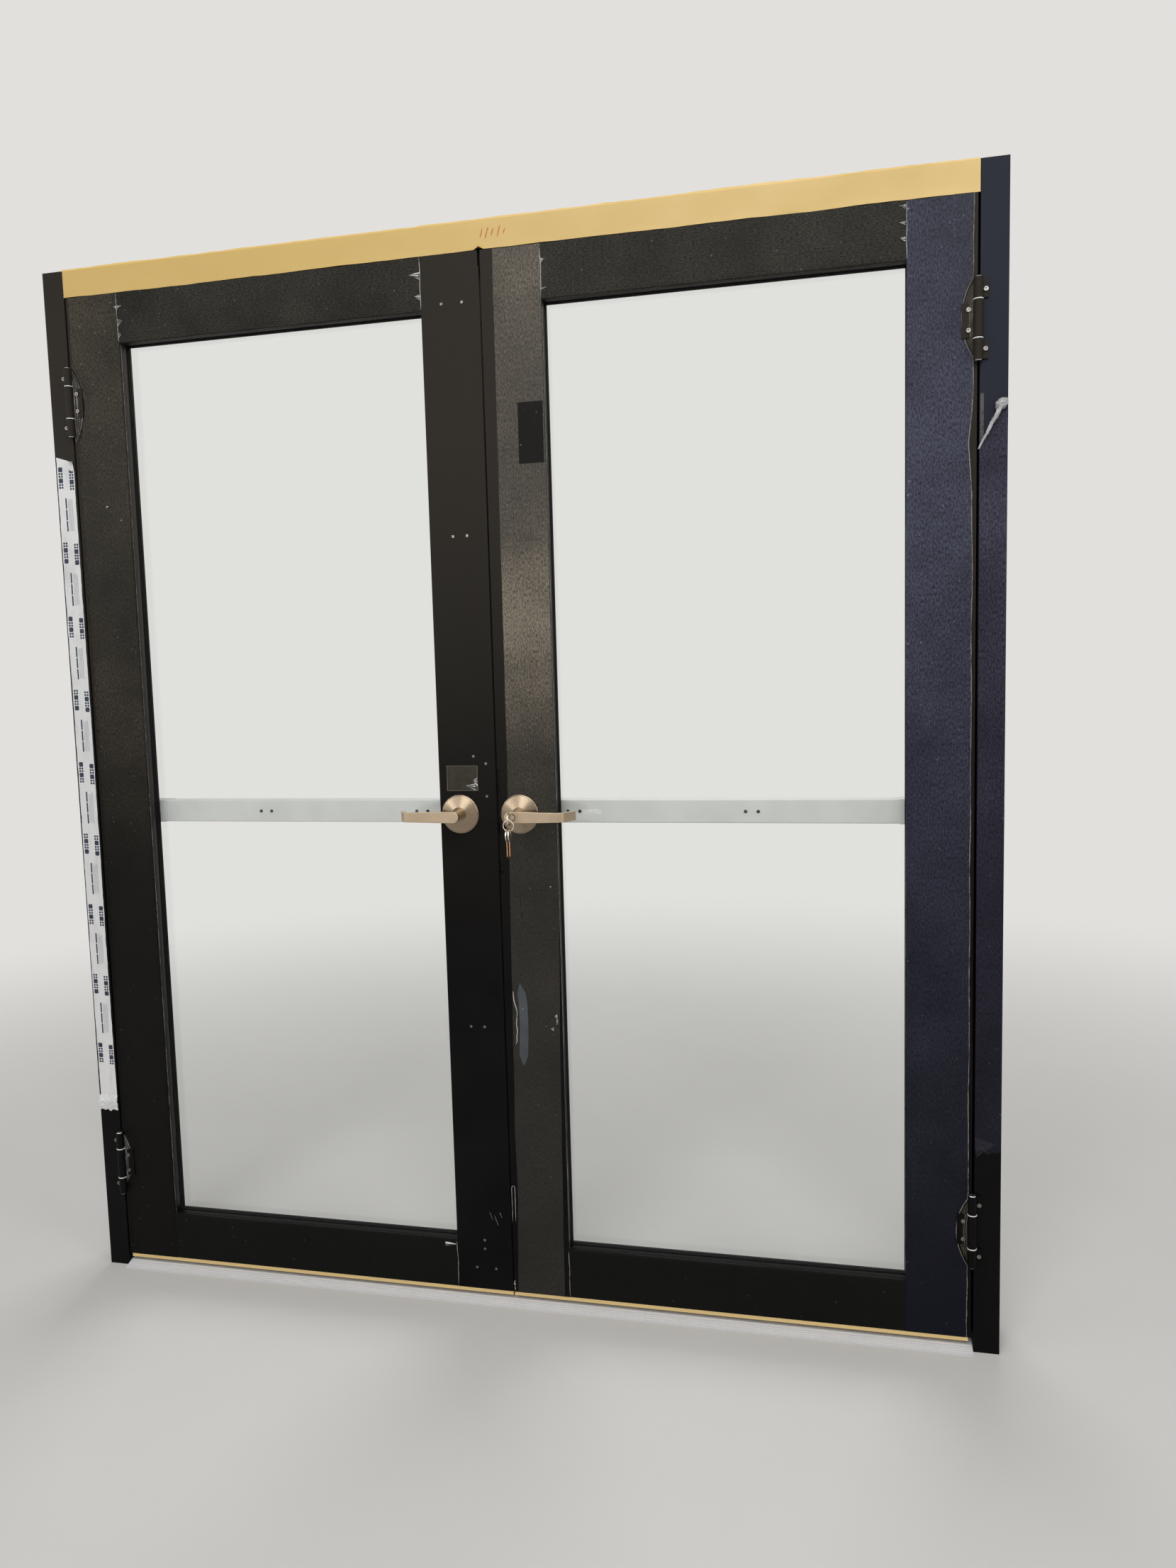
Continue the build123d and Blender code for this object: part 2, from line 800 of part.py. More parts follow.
def make_pins():
    """Plain pins with a shallow domed head at each end of the barrel."""
    with BuildPart() as pins:
        for side in (-1, 1):
            for centre in hinge_centres:
                with BuildSketch(Plane.XY.offset(centre - hinge_height / 2)):
                    with Locations((side * hinge_axis_x, hinge_axis_y)):
                        Circle(pin_radius)
                extrude(amount=hinge_height)
                for height, way in ((centre + hinge_height / 2, 1), (centre - hinge_height / 2, -1)):
                    cap = Plane(origin=(side * hinge_axis_x, hinge_axis_y, height),
                                x_dir=(1, 0, 0), z_dir=(0, 0, way))
                    with BuildSketch(cap):
                        Circle(barrel_radius - 1.0)
                    extrude(amount=pin_head_height, taper=pin_head_taper)
    return pins


def make_washers():
    """Nylon washers that carry the leaves between the knuckles."""
    with BuildPart() as washers:
        for side in (-1, 1):
            for centre in hinge_centres:
                step = hinge_height / 2 - hinge_end_knuckle - washer_thickness
                for height in (centre + step, centre - step - washer_thickness):
                    with BuildSketch(Plane.XY.offset(height)):
                        with Locations((side * hinge_axis_x, hinge_axis_y)):
                            Circle(barrel_radius + washer_proud)
                            Circle(pin_radius + pin_play, mode=Mode.SUBTRACT)
                    extrude(amount=washer_thickness)
    return washers


# Screws


def add_screw(centre, radius, head_radius, head_height, reach):
    """A round-headed screw driven in along +Y, with a hexagon socket, its head seated at centre."""
    seat = Plane(origin=centre, x_dir=(1, 0, 0), z_dir=(0, -1, 0))
    depth = min(screw_socket_depth, head_height * (1 - screw_socket_floor))
    below = (Align.CENTER, Align.CENTER, Align.MAX)
    above = (Align.CENTER, Align.CENTER, Align.MIN)
    with Locations(seat):
        Cone(head_radius, head_radius - screw_head_draft * head_height, head_height, align=above)
        Cylinder(radius, reach, align=below)
    with BuildSketch(seat.offset(head_height)) as socket:
        RegularPolygon(head_radius * screw_socket_share, 6)
    extrude(socket.sketch, amount=-depth, mode=Mode.SUBTRACT)


def make_frame_screws():
    """The screws of the frame flaps."""
    with BuildPart() as screws:
        for side in (-1, 1):
            for centre in hinge_centres:
                for shift in (-frame_screw_spread / 2, frame_screw_spread / 2):
                    add_screw((screw_x(side, 1), near - plate_thickness, centre + shift),
                              screw_radius, screw_head_radius, screw_head_height,
                              plate_thickness + screw_reach)
    return screws


def bar_screw_places(side):
    """Where the bar's housing is screwed together, in two pairs along the bar."""
    axis = left_axis if side < 0 else right_axis
    first = axis + side * bar_screw_first
    return [first + side * (group + shift)
            for group in (0.0, bar_screw_group) for shift in (0.0, bar_screw_pair)]


def through_bolt_places():
    """The through bolts of the rods' latches and guides and of the head case, across and up."""
    places = []
    for spread, height in ((latch_bolt_spread, top_bolt_height), (guide_bolt_spread, upper_guide_height),
                           (guide_bolt_spread, lower_guide_height), (latch_bolt_spread, bottom_bolt_height)):
        places.append((rod_x - spread / 2, height))
        places.append((rod_x + spread / 2, height))
    for height in bottom_extra_heights:
        places.append((rod_x - bottom_extra_side, height))
    places.append((left_axis + case_bolt_side, hardware_height + case_bolt_rise))
    for rise in edge_bolt_rises:
        places.append((-(lock_edge + edge_bolt_setback), hardware_height + rise))
    return places


def make_leaf_screws(side):
    """Everything screwed into one leaf: hinge screws, bar screws and, on the left, through bolts."""
    with BuildPart() as screws:
        for centre in hinge_centres:
            for shift in (-door_screw_spread / 2, door_screw_spread / 2):
                add_screw((screw_x(side, -1), near - plate_thickness, centre + shift),
                          screw_radius, screw_head_radius, screw_head_height,
                          plate_thickness + screw_reach)
        for place in bar_screw_places(side):
            add_screw((place, bar_back, hardware_height), bar_screw_radius, bar_screw_head_radius,
                      bar_screw_head_height, bar_wall + screw_reach)
        if side < 0:
            for across, height in through_bolt_places():
                add_screw((across, near, height), bolt_radius, bolt_head_radius,
                          bolt_head_height, screw_reach)
    return screws


# Push bars


def make_housing(side):
    """The bar's channel, open to the push side along the pad and closed beyond it."""
    axis = left_axis if side < 0 else right_axis
    inner = axis + side * head_case_half_width
    outer = side * (bar_end - end_cap_length)
    low, high = min(inner, outer), max(inner, outer)
    base = section_plane((low, bar_back, hardware_height), (0, 1, 0), (0, 0, 1))
    half = bar_height / 2
    with BuildPart() as housing:
        with BuildSketch(base) as section:
            rectangle(0, -half, bar_depth, half)
            fillet(section.vertices(), bar_fillet)
            rectangle(bar_wall, -half + bar_wall, bar_depth - bar_wall, half - bar_wall,
                      mode=Mode.SUBTRACT)
            rectangle(bar_depth - bar_wall - 1, -half + bar_lip, bar_depth + 1, half - bar_lip,
                      mode=Mode.SUBTRACT)
        extrude(amount=high - low)
        closed_from = inner + side * (pad_length + 2 * pad_play)
        block((closed_from, bar_back + bar_depth - bar_wall, hardware_height - half + bar_lip),
              (outer, bar_back + bar_depth, hardware_height + half - bar_lip))
        for place in bar_screw_places(side):
            wall_hole((place, bar_back, hardware_height), (0, 1, 0),
                      bar_screw_radius + screw_play, 3 * bar_wall)
    return housing


def make_pad(side):
    """The push pad: a rounded channel that slides in the housing's mouth."""
    axis = left_axis if side < 0 else right_axis
    inner = axis + side * (head_case_half_width + pad_play)
    outer = inner + side * pad_length
    low, high = min(inner, outer), max(inner, outer)
    half = bar_height / 2 - bar_lip - pad_play
    front = bar_depth + pad_rest_proud
    base = section_plane((low, bar_back, hardware_height), (0, 1, 0), (0, 0, 1))
    with BuildPart() as pad:
        with BuildSketch(base):
            with BuildLine():
                Line((front - pad_depth, -half), (front - pad_crown, -half))
                ThreePointArc((front - pad_crown, -half), (front, 0), (front - pad_crown, half))
                Line((front - pad_crown, half), (front - pad_depth, half))
                Line((front - pad_depth, half), (front - pad_depth, -half))
            make_face()
            rectangle(front - pad_depth - 1, -half + pad_wall, front - pad_crown - pad_wall, half - pad_wall,
                      mode=Mode.SUBTRACT)
        extrude(amount=high - low)
    return pad


def make_end_cap(side):
    """A moulded cap that closes the bar and carries it at the hinge stile."""
    outer = side * bar_end
    inner = side * (bar_end - end_cap_length)
    low, high = min(inner, outer), max(inner, outer)
    half = bar_height / 2 + end_cap_proud
    front = bar_back + bar_depth + end_cap_proud
    grip = bar_height / 2 - bar_wall - end_cap_play
    with BuildPart() as cap:
        block((low, leaf_far, hardware_height - half), (high, front, hardware_height + half))
        fillet(cap.edges().filter_by(lambda edge: abs(edge.center().X - outer) < 0.01), case_fillet)
        long_edges = cap.edges().filter_by(Axis.X).filter_by(lambda edge: edge.center().Y > front - 0.01)
        fillet(long_edges, bar_fillet)
        block((inner - side * end_cap_grip, bar_back + bar_wall, hardware_height - grip),
              (inner, bar_back + bar_depth - bar_wall - end_cap_play, hardware_height + grip))
    return cap


def make_head_case(side):
    """The case over the latch work: a rounded shell, open at its back, bored for the rods on the left."""
    axis = left_axis if side < 0 else right_axis
    half = head_case_height / 2
    low = (axis - head_case_half_width, leaf_far, hardware_height - half)
    high = (axis + head_case_half_width, leaf_far + head_case_depth, hardware_height + half)
    with BuildPart() as case:
        block(low, high)
        rounded = case.edges().filter_by(lambda edge: edge.center().Y > leaf_far + 1.0)
        fillet(rounded, case_fillet)
        block((low[0] + case_wall, leaf_far - 1, low[2] + case_wall),
              (high[0] - case_wall, high[1] - case_wall, high[2] - case_wall), mode=Mode.SUBTRACT)
        if side < 0:
            for height in (low[2], high[2]):
                wall_hole((rod_x, rod_y, height), (0, 0, 1), rod_radius + rod_play, 4 * case_wall)
    return case


# Vertical rods


def rod_outline(length):
    """Half of a rod's profile: a plain rod and, at its far end, the thicker chamfered bolt."""
    Polygon((0, 0), (rod_radius, 0), (rod_radius, length - shoot_length),
            (shoot_radius, length - shoot_length), (shoot_radius, length - shoot_chamfer),
            (shoot_radius - shoot_chamfer, length), (0, length))


def make_rod(start, finish):
    """A rod from inside the head case to its shoot bolt, drawn back."""
    way = 1 if finish > start else -1
    plane = Plane(origin=(rod_x, rod_y, start), x_dir=(1, 0, 0), z_dir=(0, -way, 0))
    with BuildPart() as rod:
        with BuildSketch(plane):
            rod_outline(abs(finish - start))
        revolve(axis=Axis((rod_x, rod_y, 0), (0, 0, 1)))
    return rod


def make_guides():
    """Two saddles on the far face that keep the rods straight."""
    with BuildPart() as guides:
        for height in (upper_guide_height, lower_guide_height):
            with BuildSketch(Plane.XY.offset(height - guide_height / 2)) as section:
                rectangle(rod_x - guide_width / 2, leaf_far, rod_x + guide_width / 2, leaf_far + guide_wall)
                rectangle(rod_x - rod_radius - guide_wall, leaf_far, rod_x + rod_radius + guide_wall, rod_y)
                with Locations((rod_x, rod_y)):
                    Circle(rod_radius + guide_wall)
                    Circle(rod_radius + rod_play, mode=Mode.SUBTRACT)
            extrude(amount=guide_height)
    return guides


def make_latch_case(low_z, high_z):
    """A rounded shell that guides a shoot bolt, open at its back."""
    low = (rod_x - latch_case_width / 2, leaf_far, low_z)
    high = (rod_x + latch_case_width / 2, leaf_far + latch_case_depth, high_z)
    with BuildPart() as case:
        block(low, high)
        rounded = case.edges().filter_by(lambda edge: edge.center().Y > leaf_far + 1.0)
        fillet(rounded, case_fillet)
        block((low[0] + case_wall, leaf_far - 1, low[2] + case_wall),
              (high[0] - case_wall, high[1] - case_wall, high[2] - case_wall), mode=Mode.SUBTRACT)
        for height in (low_z, high_z):
            wall_hole((rod_x, rod_y, height), (0, 0, 1), shoot_radius + rod_play, 4 * case_wall)
    return case


# Mortise lock and edge strike


def make_lock():
    """The lock's front plate on the meeting edge with its case inside the stile."""
    edge = lock_edge
    plate_near = near + lock_front_near
    middle = plate_near + lock_front_width / 2
    half = lock_case_thickness / 2
    latch_half = latch_thickness / 2 + latch_play
    with BuildPart() as lock:
        block((edge, plate_near, lock_centre - lock_front_height / 2),
              (edge + lock_front_thickness, plate_near + lock_front_width,
               lock_centre + lock_front_height / 2))
        fillet(lock.edges().filter_by(Axis.X), lock_front_corner)
        case_low = (edge + lock_front_thickness, middle - half, lock_centre - lock_case_height / 2)
        case_high = (case_low[0] + lock_case_depth, middle + half, lock_centre + lock_case_height / 2)
        block(case_low, case_high)
        block([place + lock_case_wall for place in case_low],
              [place - lock_case_wall for place in case_high], mode=Mode.SUBTRACT)
        block((edge - 1, middle - latch_half, latch_centre - latch_height / 2 - latch_play),
              (case_low[0] + lock_mouth_depth, middle + latch_half,
               latch_centre + latch_height / 2 + latch_play), mode=Mode.SUBTRACT)
        wall_hole((right_axis, middle, hardware_height), (0, 1, 0),
                  hub_radius + hub_clearance, 2 * lock_case_thickness)
    return lock


def make_latch():
    """The latch bolt, bevelled on its far side, drawn back flush with the lock's front."""
    middle = near + lock_front_near + lock_front_width / 2
    half = latch_thickness / 2
    tip = lock_edge + latch_set_back
    back = tip + latch_length
    with BuildPart() as latch:
        with BuildSketch(Plane.XY.offset(latch_centre - latch_height / 2)):
            with BuildLine():
                Polyline((tip, middle - half), (back, middle - half), (back, middle + half),
                         (tip + latch_bevel, middle + half), (tip, middle - half + latch_nose), close=True)
            make_face()
        extrude(amount=latch_height)
    return latch


def strike_window(reach):
    """The opening that the latch enters, cut from the inactive leaf's meeting edge to a reach."""
    middle = near + lock_front_near + lock_front_width / 2
    side = latch_thickness / 2 + edge_strike_side_play
    end = latch_height / 2 + edge_strike_end_play
    block((-lock_edge - reach, middle - side, latch_centre - end),
          (0, middle + side, latch_centre + end), mode=Mode.SUBTRACT)


def make_edge_strike():
    """The latch's strike, let into the meeting edge of the inactive leaf."""
    middle = near + lock_front_near + lock_front_width / 2
    with BuildPart() as strike:
        block((-lock_edge - edge_strike_thickness, middle - edge_strike_width / 2,
               latch_centre - edge_strike_height / 2),
              (-lock_edge, middle + edge_strike_width / 2, latch_centre + edge_strike_height / 2))
        fillet(strike.edges().filter_by(Axis.X), edge_strike_corner)
        strike_window(2 * edge_strike_thickness)
    return strike


def make_left_lock_stile():
    """The inactive meeting stile, cut for the edge strike, the spindle and the through bolts."""
    middle = near + lock_front_near + lock_front_width / 2
    blank = make_stile(-1, -lock_edge)
    with BuildPart() as stile:
        add(blank)
        block((-lock_edge - edge_strike_thickness, middle - edge_strike_width / 2,
               latch_centre - edge_strike_height / 2),
              (0, middle + edge_strike_width / 2, latch_centre + edge_strike_height / 2),
              mode=Mode.SUBTRACT)
        strike_window(2 * leaf_wall)
        block((-lock_edge - top_notch_width, near - 1, leaf_top - top_notch_height),
              (0, near + top_notch_depth, leaf_top + 1), mode=Mode.SUBTRACT)
        wall_hole((left_axis, near, hardware_height), (0, 1, 0),
                  hub_radius + hub_clearance, 2 * leaf_wall)
        for across, height in through_bolt_places():
            wall_hole((across, near, height), (0, 1, 0), bolt_radius + screw_play, 2 * leaf_wall)
    return stile


def make_right_lock_stile():
    """The active meeting stile, cut for the lock and spindle, with its edge notch and milled slot."""
    plate_near = near + lock_front_near
    middle = plate_near + lock_front_width / 2
    half = lock_case_thickness / 2 + lock_case_play
    blank = make_stile(1, lock_edge)
    with BuildPart() as stile:
        add(blank)
        block((lock_edge - 1, plate_near, lock_centre - lock_front_height / 2),
              (lock_edge + lock_front_thickness, plate_near + lock_front_width,
               lock_centre + lock_front_height / 2), mode=Mode.SUBTRACT)
        block((lock_edge - 1, middle - half, lock_centre - lock_case_height / 2 - lock_case_play),
              (lock_edge + 2 * leaf_wall, middle + half, lock_centre + lock_case_height / 2 + lock_case_play),
              mode=Mode.SUBTRACT)
        block((lock_edge + lock_front_thickness, near - 1, lock_centre - lock_front_height / 2),
              (lock_edge + edge_notch_width, plate_near, lock_centre + lock_front_height / 2),
              mode=Mode.SUBTRACT)
        block((lock_edge - 1, near - 1, lock_centre - lock_front_height / 2),
              (lock_edge + lock_front_thickness, plate_near, lock_centre + lock_front_height / 2),
              mode=Mode.SUBTRACT)
        with BuildSketch(face_plane(near + slot_depth)):
            with Locations((lock_edge, slot_low + slot_height / 2)):
                SlotOverall(slot_height, 2 * slot_width, rotation=90)
        extrude(amount=slot_depth + 1, mode=Mode.SUBTRACT)
        wall_hole((right_axis, near, hardware_height), (0, 1, 0),
                  hub_radius + hub_clearance, 2 * leaf_wall)
    return stile


def make_hinge_stile(side):
    """A hinge stile, drilled for its hinge screws."""
    blank = make_stile(side, side * leaf_edge)
    with BuildPart() as stile:
        add(blank)
        for centre in hinge_centres:
            for shift in (-door_screw_spread / 2, door_screw_spread / 2):
                wall_hole((screw_x(side, -1), near, centre + shift), (0, 1, 0),
                          screw_radius + screw_play, 2 * leaf_wall)
    return stile


# Lever handles


def make_rose(axis):
    """A turned rose: a short rim, a shallow cone and a collar round the lever's neck."""
    plane = Plane(origin=(axis, near, hardware_height), x_dir=(1, 0, 0), z_dir=(0, 0, 1))
    bore = hub_radius + lever_play
    collar_base = rose_height - rose_collar_height
    shoulder = (rose_radius - rose_shoulder, -rose_rim - rose_shoulder_drop)
    with BuildPart() as rose:
        with BuildSketch(plane):
            with BuildLine():
                Polyline((bore, 0), (rose_radius, 0), (rose_radius, -rose_rim))
                RadiusArc((rose_radius, -rose_rim), shoulder, -rose_shoulder_radius)
                Polyline(shoulder, (rose_collar_radius, -collar_base),
                         (rose_collar_radius, -rose_height), (bore, -rose_height), (bore, 0))
            make_face()
        revolve(axis=Axis((axis, near, hardware_height), (0, 1, 0)))
    return rose


def lever_plan(axis, side):
    """The lever seen from above: a straight bar, a bend and a return towards the leaf."""
    tip = axis + side * lever_length
    lean = radians(lever_return_angle)
    half = lever_thickness / 2
    corner = half * tan((radians(90) - lean) / 2)
    end_x = tip + side * sin(lean) * lever_return
    end_y = lever_front + half + cos(lean) * lever_return
    start = axis - side * (lever_hub_overrun + lever_hub_half_height)
    across_x = side * cos(lean) * half
    across_y = -sin(lean) * half
    with BuildLine() as outline:
        front = FilletPolyline((start, lever_front), (tip + side * corner, lever_front),
                               (end_x + across_x, end_y + across_y), radius=lever_bend + half)
        back = FilletPolyline((start, lever_back), (tip - side * corner, lever_back),
                              (end_x - across_x, end_y - across_y), radius=lever_bend - half)
        Line(front @ 0, back @ 0)
        Line(front @ 1, back @ 1)
    make_face(outline.edges())


def make_lever(axis, side, keyed):
    """A straight lever with a tapered blade, a round neck and a return, turning in its rose."""
    with BuildPart() as lever:
        with BuildSketch(Plane.XY.offset(hardware_height - 2 * lever_hub_half_height)):
            lever_plan(axis, side)
        extrude(amount=4 * lever_hub_half_height)
        with BuildSketch(face_plane(lever_front - lever_return)):
            with BuildLine():
                hub = axis - side * lever_hub_overrun
                end = axis + side * (lever_length + lever_return)
                high = (hub, hardware_height + lever_hub_half_height)
                low = (hub, hardware_height - lever_hub_half_height)
                tip_high = (end, hardware_height + lever_tip_half_height)
                tip_low = (end, hardware_height - lever_tip_half_height)
                ThreePointArc(low, (hub - side * lever_hub_half_height, hardware_height), high)
                Polyline(high, tip_high, tip_low, low)
            make_face()
        extrude(amount=-4 * lever_return, mode=Mode.INTERSECT)
        fillet(lever.edges(), lever_edge)
        neck = Plane(origin=(axis, near + spindle_reach, hardware_height), x_dir=(1, 0, 0), z_dir=(0, -1, 0))
        with Locations(neck):
            Cylinder(hub_radius, spindle_reach + lever_projection - lever_thickness / 2,
                     align=(Align.CENTER, Align.CENTER, Align.MIN))
        if keyed:
            mouth = Plane(origin=(axis, lever_front, hardware_height), x_dir=(0, 0, 1), z_dir=(0, -1, 0))
            with Locations(mouth.offset(-plug_length / 2)):
                Cylinder(plug_radius + plug_play, plug_length, mode=Mode.SUBTRACT)
            with Locations(mouth):
                Cylinder(plug_ring_radius, 2 * plug_ring_depth, mode=Mode.SUBTRACT)
    return lever


# Key cylinder, keys and ring


def key_profile():
    """A key seen from its side: a round bow with a hole, a neck, and a blade with a row of cuts."""
    blade_start = bow_radius + key_neck
    blade_end = blade_start + key_blade_length
    half = key_blade_width / 2
    Circle(bow_radius)
    rectangle(0, -half - key_neck_widening, blade_start, half + key_neck_widening)
    pitch = key_cut_room / key_cut_count
    points = [(0, -half), (blade_end - key_tip, -half), (blade_end, 0), (blade_end - key_tip, half)]
    for number in range(key_cut_count):
        middle = blade_end - key_first_cut - number * pitch
        share = key_cut_least + (1 - key_cut_least) * cos(number * key_cut_turn)
        points.append((middle + pitch * key_cut_half_share, half))
        points.append((middle, half - key_cut_depth * share))
        points.append((middle - pitch * key_cut_half_share, half))
    points.append((0, half))
    Polygon(*points)
    with Locations((-bow_hole_offset, 0)):
        Circle(bow_hole_radius, mode=Mode.SUBTRACT)


def key_plane():
    """The plane of the key in the lock: upright, its blade pointing into the cylinder."""
    return Plane(origin=(right_axis - key_thickness / 2, bow_y(), hardware_height),
                 x_dir=(0, 1, 0), z_dir=(1, 0, 0))


def bow_y():
    """The depth at which the key's bow is centred, its neck just clear of the cylinder."""
    return lever_front - key_neck - bow_radius - key_plug_gap


def make_plug():
    """The cylinder's plug with its keyway."""
    slot = key_thickness + 2 * key_slot_play
    with BuildPart() as plug:
        with BuildSketch(face_plane(lever_front + plug_length - plug_end_gap)):
            with Locations((right_axis, hardware_height)):
                Circle(plug_radius)
        extrude(amount=plug_length - plug_end_gap)
        chamfer(plug.faces().sort_by(Axis.Y)[0].edges(), plug_arris)
        block((right_axis - slot / 2, lever_front - 1, hardware_height - key_blade_width / 2 - key_slot_play),
              (right_axis + slot / 2, lever_front + plug_length,
               hardware_height + key_blade_width / 2 + key_slot_play), mode=Mode.SUBTRACT)
    return plug


def make_door_key():
    with BuildPart() as key:
        with BuildSketch(key_plane()):
            key_profile()
        extrude(amount=key_thickness)
    return key


def ring_centre():
    """The ring hangs in the bow's hole, a little above its lowest edge."""
    hole_y = bow_y() - bow_hole_offset
    wire = hardware_height - bow_hole_radius + ring_wire + ring_rest_gap
    return (right_axis, hole_y, wire - ring_radius)


def make_ring():
    centre = ring_centre()
    with BuildPart() as ring:
        with Locations(Plane(origin=centre, z_dir=(0, 1, 0)).location):
            Torus(ring_radius, ring_wire)
    return ring


def make_spare_keys():
    """Two more keys, hanging side by side from the bottom of the ring."""
    centre = ring_centre()
    with BuildPart() as keys:
        for shift in (-spare_key_spacing / 2, spare_key_spacing / 2):
            drop = ring_radius - (ring_radius ** 2 - shift ** 2) ** 0.5
            hole_z = centre[2] - ring_radius + drop - bow_hole_radius + ring_wire + ring_rest_gap
            origin = (right_axis + shift - key_thickness / 2, centre[1], hole_z - bow_hole_offset)
            with BuildSketch(Plane(origin=origin, x_dir=(0, 0, -1), z_dir=(1, 0, 0))):
                key_profile()
            extrude(amount=key_thickness)
    return keys


# Build and write every piece

os.makedirs("parts", exist_ok=True)

save(make_jamb(-1), "left_jamb")
save(make_jamb(1), "right_jamb")
save(make_header(), "header")
save(make_threshold(), "threshold")
save(make_side_stop(-1), "left_stop")
save(make_side_stop(1), "right_stop")
save(make_header_stop(), "header_stop")
save(make_seals(), "stop_seals")
save(make_strikes(), "rod_strikes")
save(make_frame_flaps(), "hinge_frame_flaps")
save(make_pins(), "hinge_pins")
save(make_washers(), "hinge_washers")
save(make_frame_screws(), "hinge_frame_screws")

for side, hand in ((-1, "left"), (1, "right")):
    save(make_hinge_stile(side), hand + "_hinge_stile")
    save(make_rail(side, True), hand + "_top_rail")
    save(make_rail(side, False), hand + "_bottom_rail")
    save(make_glass(side), hand + "_glass")
    save(make_gaskets(side), hand + "_glazing_gaskets")
    save(make_beads(side), hand + "_glazing_beads")
    save(make_bottom_channel(side), hand + "_bottom_channel")
    save(make_sweep(side), hand + "_sweep")
    save(make_door_flaps(side), hand + "_hinge_door_flaps")
    save(make_leaf_screws(side), hand + "_leaf_screws")
    save(make_housing(side), hand + "_bar_housing")
    save(make_pad(side), hand + "_push_pad")
    save(make_end_cap(side), hand + "_bar_end_cap")
    save(make_head_case(side), hand + "_head_case")

save(make_left_lock_stile(), "left_lock_stile")
save(make_right_lock_stile(), "right_lock_stile")
save(make_rod(hardware_height + head_case_height / 2 - rod_in_case,
              stop_under - strike_thickness - rod_rest_gap), "upper_rod")
save(make_rod(hardware_height - head_case_height / 2 + rod_in_case, rod_floor_rest), "lower_rod")
save(make_guides(), "rod_guides")
save(make_latch_case(stop_under - top_case_drop - top_case_height, stop_under - top_case_drop),
     "top_latch_case")
save(make_latch_case(leaf_bottom + bottom_case_rise, leaf_bottom + bottom_case_rise + bottom_case_height),
     "bottom_latch_case")
save(make_edge_strike(), "edge_strike")
save(make_lock(), "mortise_lock")
save(make_latch(), "latch_bolt")
save(make_rose(left_axis), "left_rose")
save(make_rose(right_axis), "right_rose")
save(make_lever(left_axis, -1, False), "left_lever")
save(make_lever(right_axis, 1, True), "right_lever")
save(make_plug(), "key_plug")
save(make_door_key(), "door_key")
save(make_ring(), "key_ring")
save(make_spare_keys(), "spare_keys")
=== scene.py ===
import math
from itertools import product

import bmesh
import bpy
from bpy.props import FloatProperty, FloatVectorProperty, PointerProperty
from bpy.types import Operator, Panel, PropertyGroup
from mathutils import Matrix, Vector, noise


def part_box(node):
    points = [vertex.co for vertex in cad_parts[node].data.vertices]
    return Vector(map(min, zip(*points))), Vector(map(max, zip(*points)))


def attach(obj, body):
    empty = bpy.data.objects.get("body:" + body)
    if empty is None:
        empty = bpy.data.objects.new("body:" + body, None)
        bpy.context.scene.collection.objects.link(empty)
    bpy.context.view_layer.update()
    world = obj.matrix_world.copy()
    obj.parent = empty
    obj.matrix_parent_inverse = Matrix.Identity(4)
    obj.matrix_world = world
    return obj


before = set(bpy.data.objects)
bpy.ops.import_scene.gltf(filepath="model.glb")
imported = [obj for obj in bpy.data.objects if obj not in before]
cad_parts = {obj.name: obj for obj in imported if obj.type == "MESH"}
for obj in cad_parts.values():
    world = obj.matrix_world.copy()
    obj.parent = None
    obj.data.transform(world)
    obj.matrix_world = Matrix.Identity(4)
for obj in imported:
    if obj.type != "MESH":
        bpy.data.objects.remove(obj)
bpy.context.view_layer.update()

bl_info = {
    "name": "Glazed double door",
    "version": (1, 0, 0),
    "blender": (4, 5, 0),
    "location": "View3D > Sidebar > Door",
    "description": "Finishes, protective films and studio for a glazed aluminium double door",
    "category": "Object",
}

MM = 0.001


def middle(node):
    """The middle of a CAD node's box."""
    low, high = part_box(node)
    return (low + high) / 2


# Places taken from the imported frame, in metres
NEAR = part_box("right_top_rail")[0].y
HEAD_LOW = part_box("header")[0].z
HEAD_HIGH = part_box("header")[1].z
JAMB_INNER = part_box("right_jamb")[0].x
JAMB_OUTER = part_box("right_jamb")[1].x
LEAF_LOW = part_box("right_hinge_stile")[0].z
LEAF_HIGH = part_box("right_hinge_stile")[1].z
LEAF_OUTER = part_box("right_hinge_stile")[1].x
LITE_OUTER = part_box("right_hinge_stile")[0].x
LITE_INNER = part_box("right_lock_stile")[1].x
LITE_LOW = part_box("right_bottom_rail")[1].z
LITE_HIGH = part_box("right_top_rail")[0].z
BAR_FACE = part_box("right_bar_housing")[0].y
BAR_MIDDLE = middle("right_bar_housing").z
LEFT_ROSE = middle("left_rose")
RIGHT_ROSE = middle("right_rose")
KEY_PLUG = middle("key_plug")
SPARE_KEY_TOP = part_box("spare_keys")[1].z

# The leaves, each with the sign of its side
SIDES = (("left", -1), ("right", 1))

# The crowned shoulder at the glass, by its depth behind the near face
SHOULDER_START = 7.5 * MM
SHOULDER_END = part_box("left_glazing_gaskets")[0].y - NEAR + 0.5 * MM

# The ribs on each ramp of the threshold, from its edge inwards
RIB_COUNT = 4
RIB_PITCH = 4.8 * MM
RIB_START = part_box("threshold")[1].y - RIB_PITCH / 2

# Screws that lie further back than this are the push bars' own
BAR_SCREWS_START = -25 * MM

# How far a film stops short of its member's ends
FILM_MARGIN = 1 * MM

# The studio floor's rings, and the distances between which it fades into the backdrop, in metres
FLOOR_RADII = (2.0, 7.0, 60.0)
FADE_START = 1.2
FADE_END = 4.5

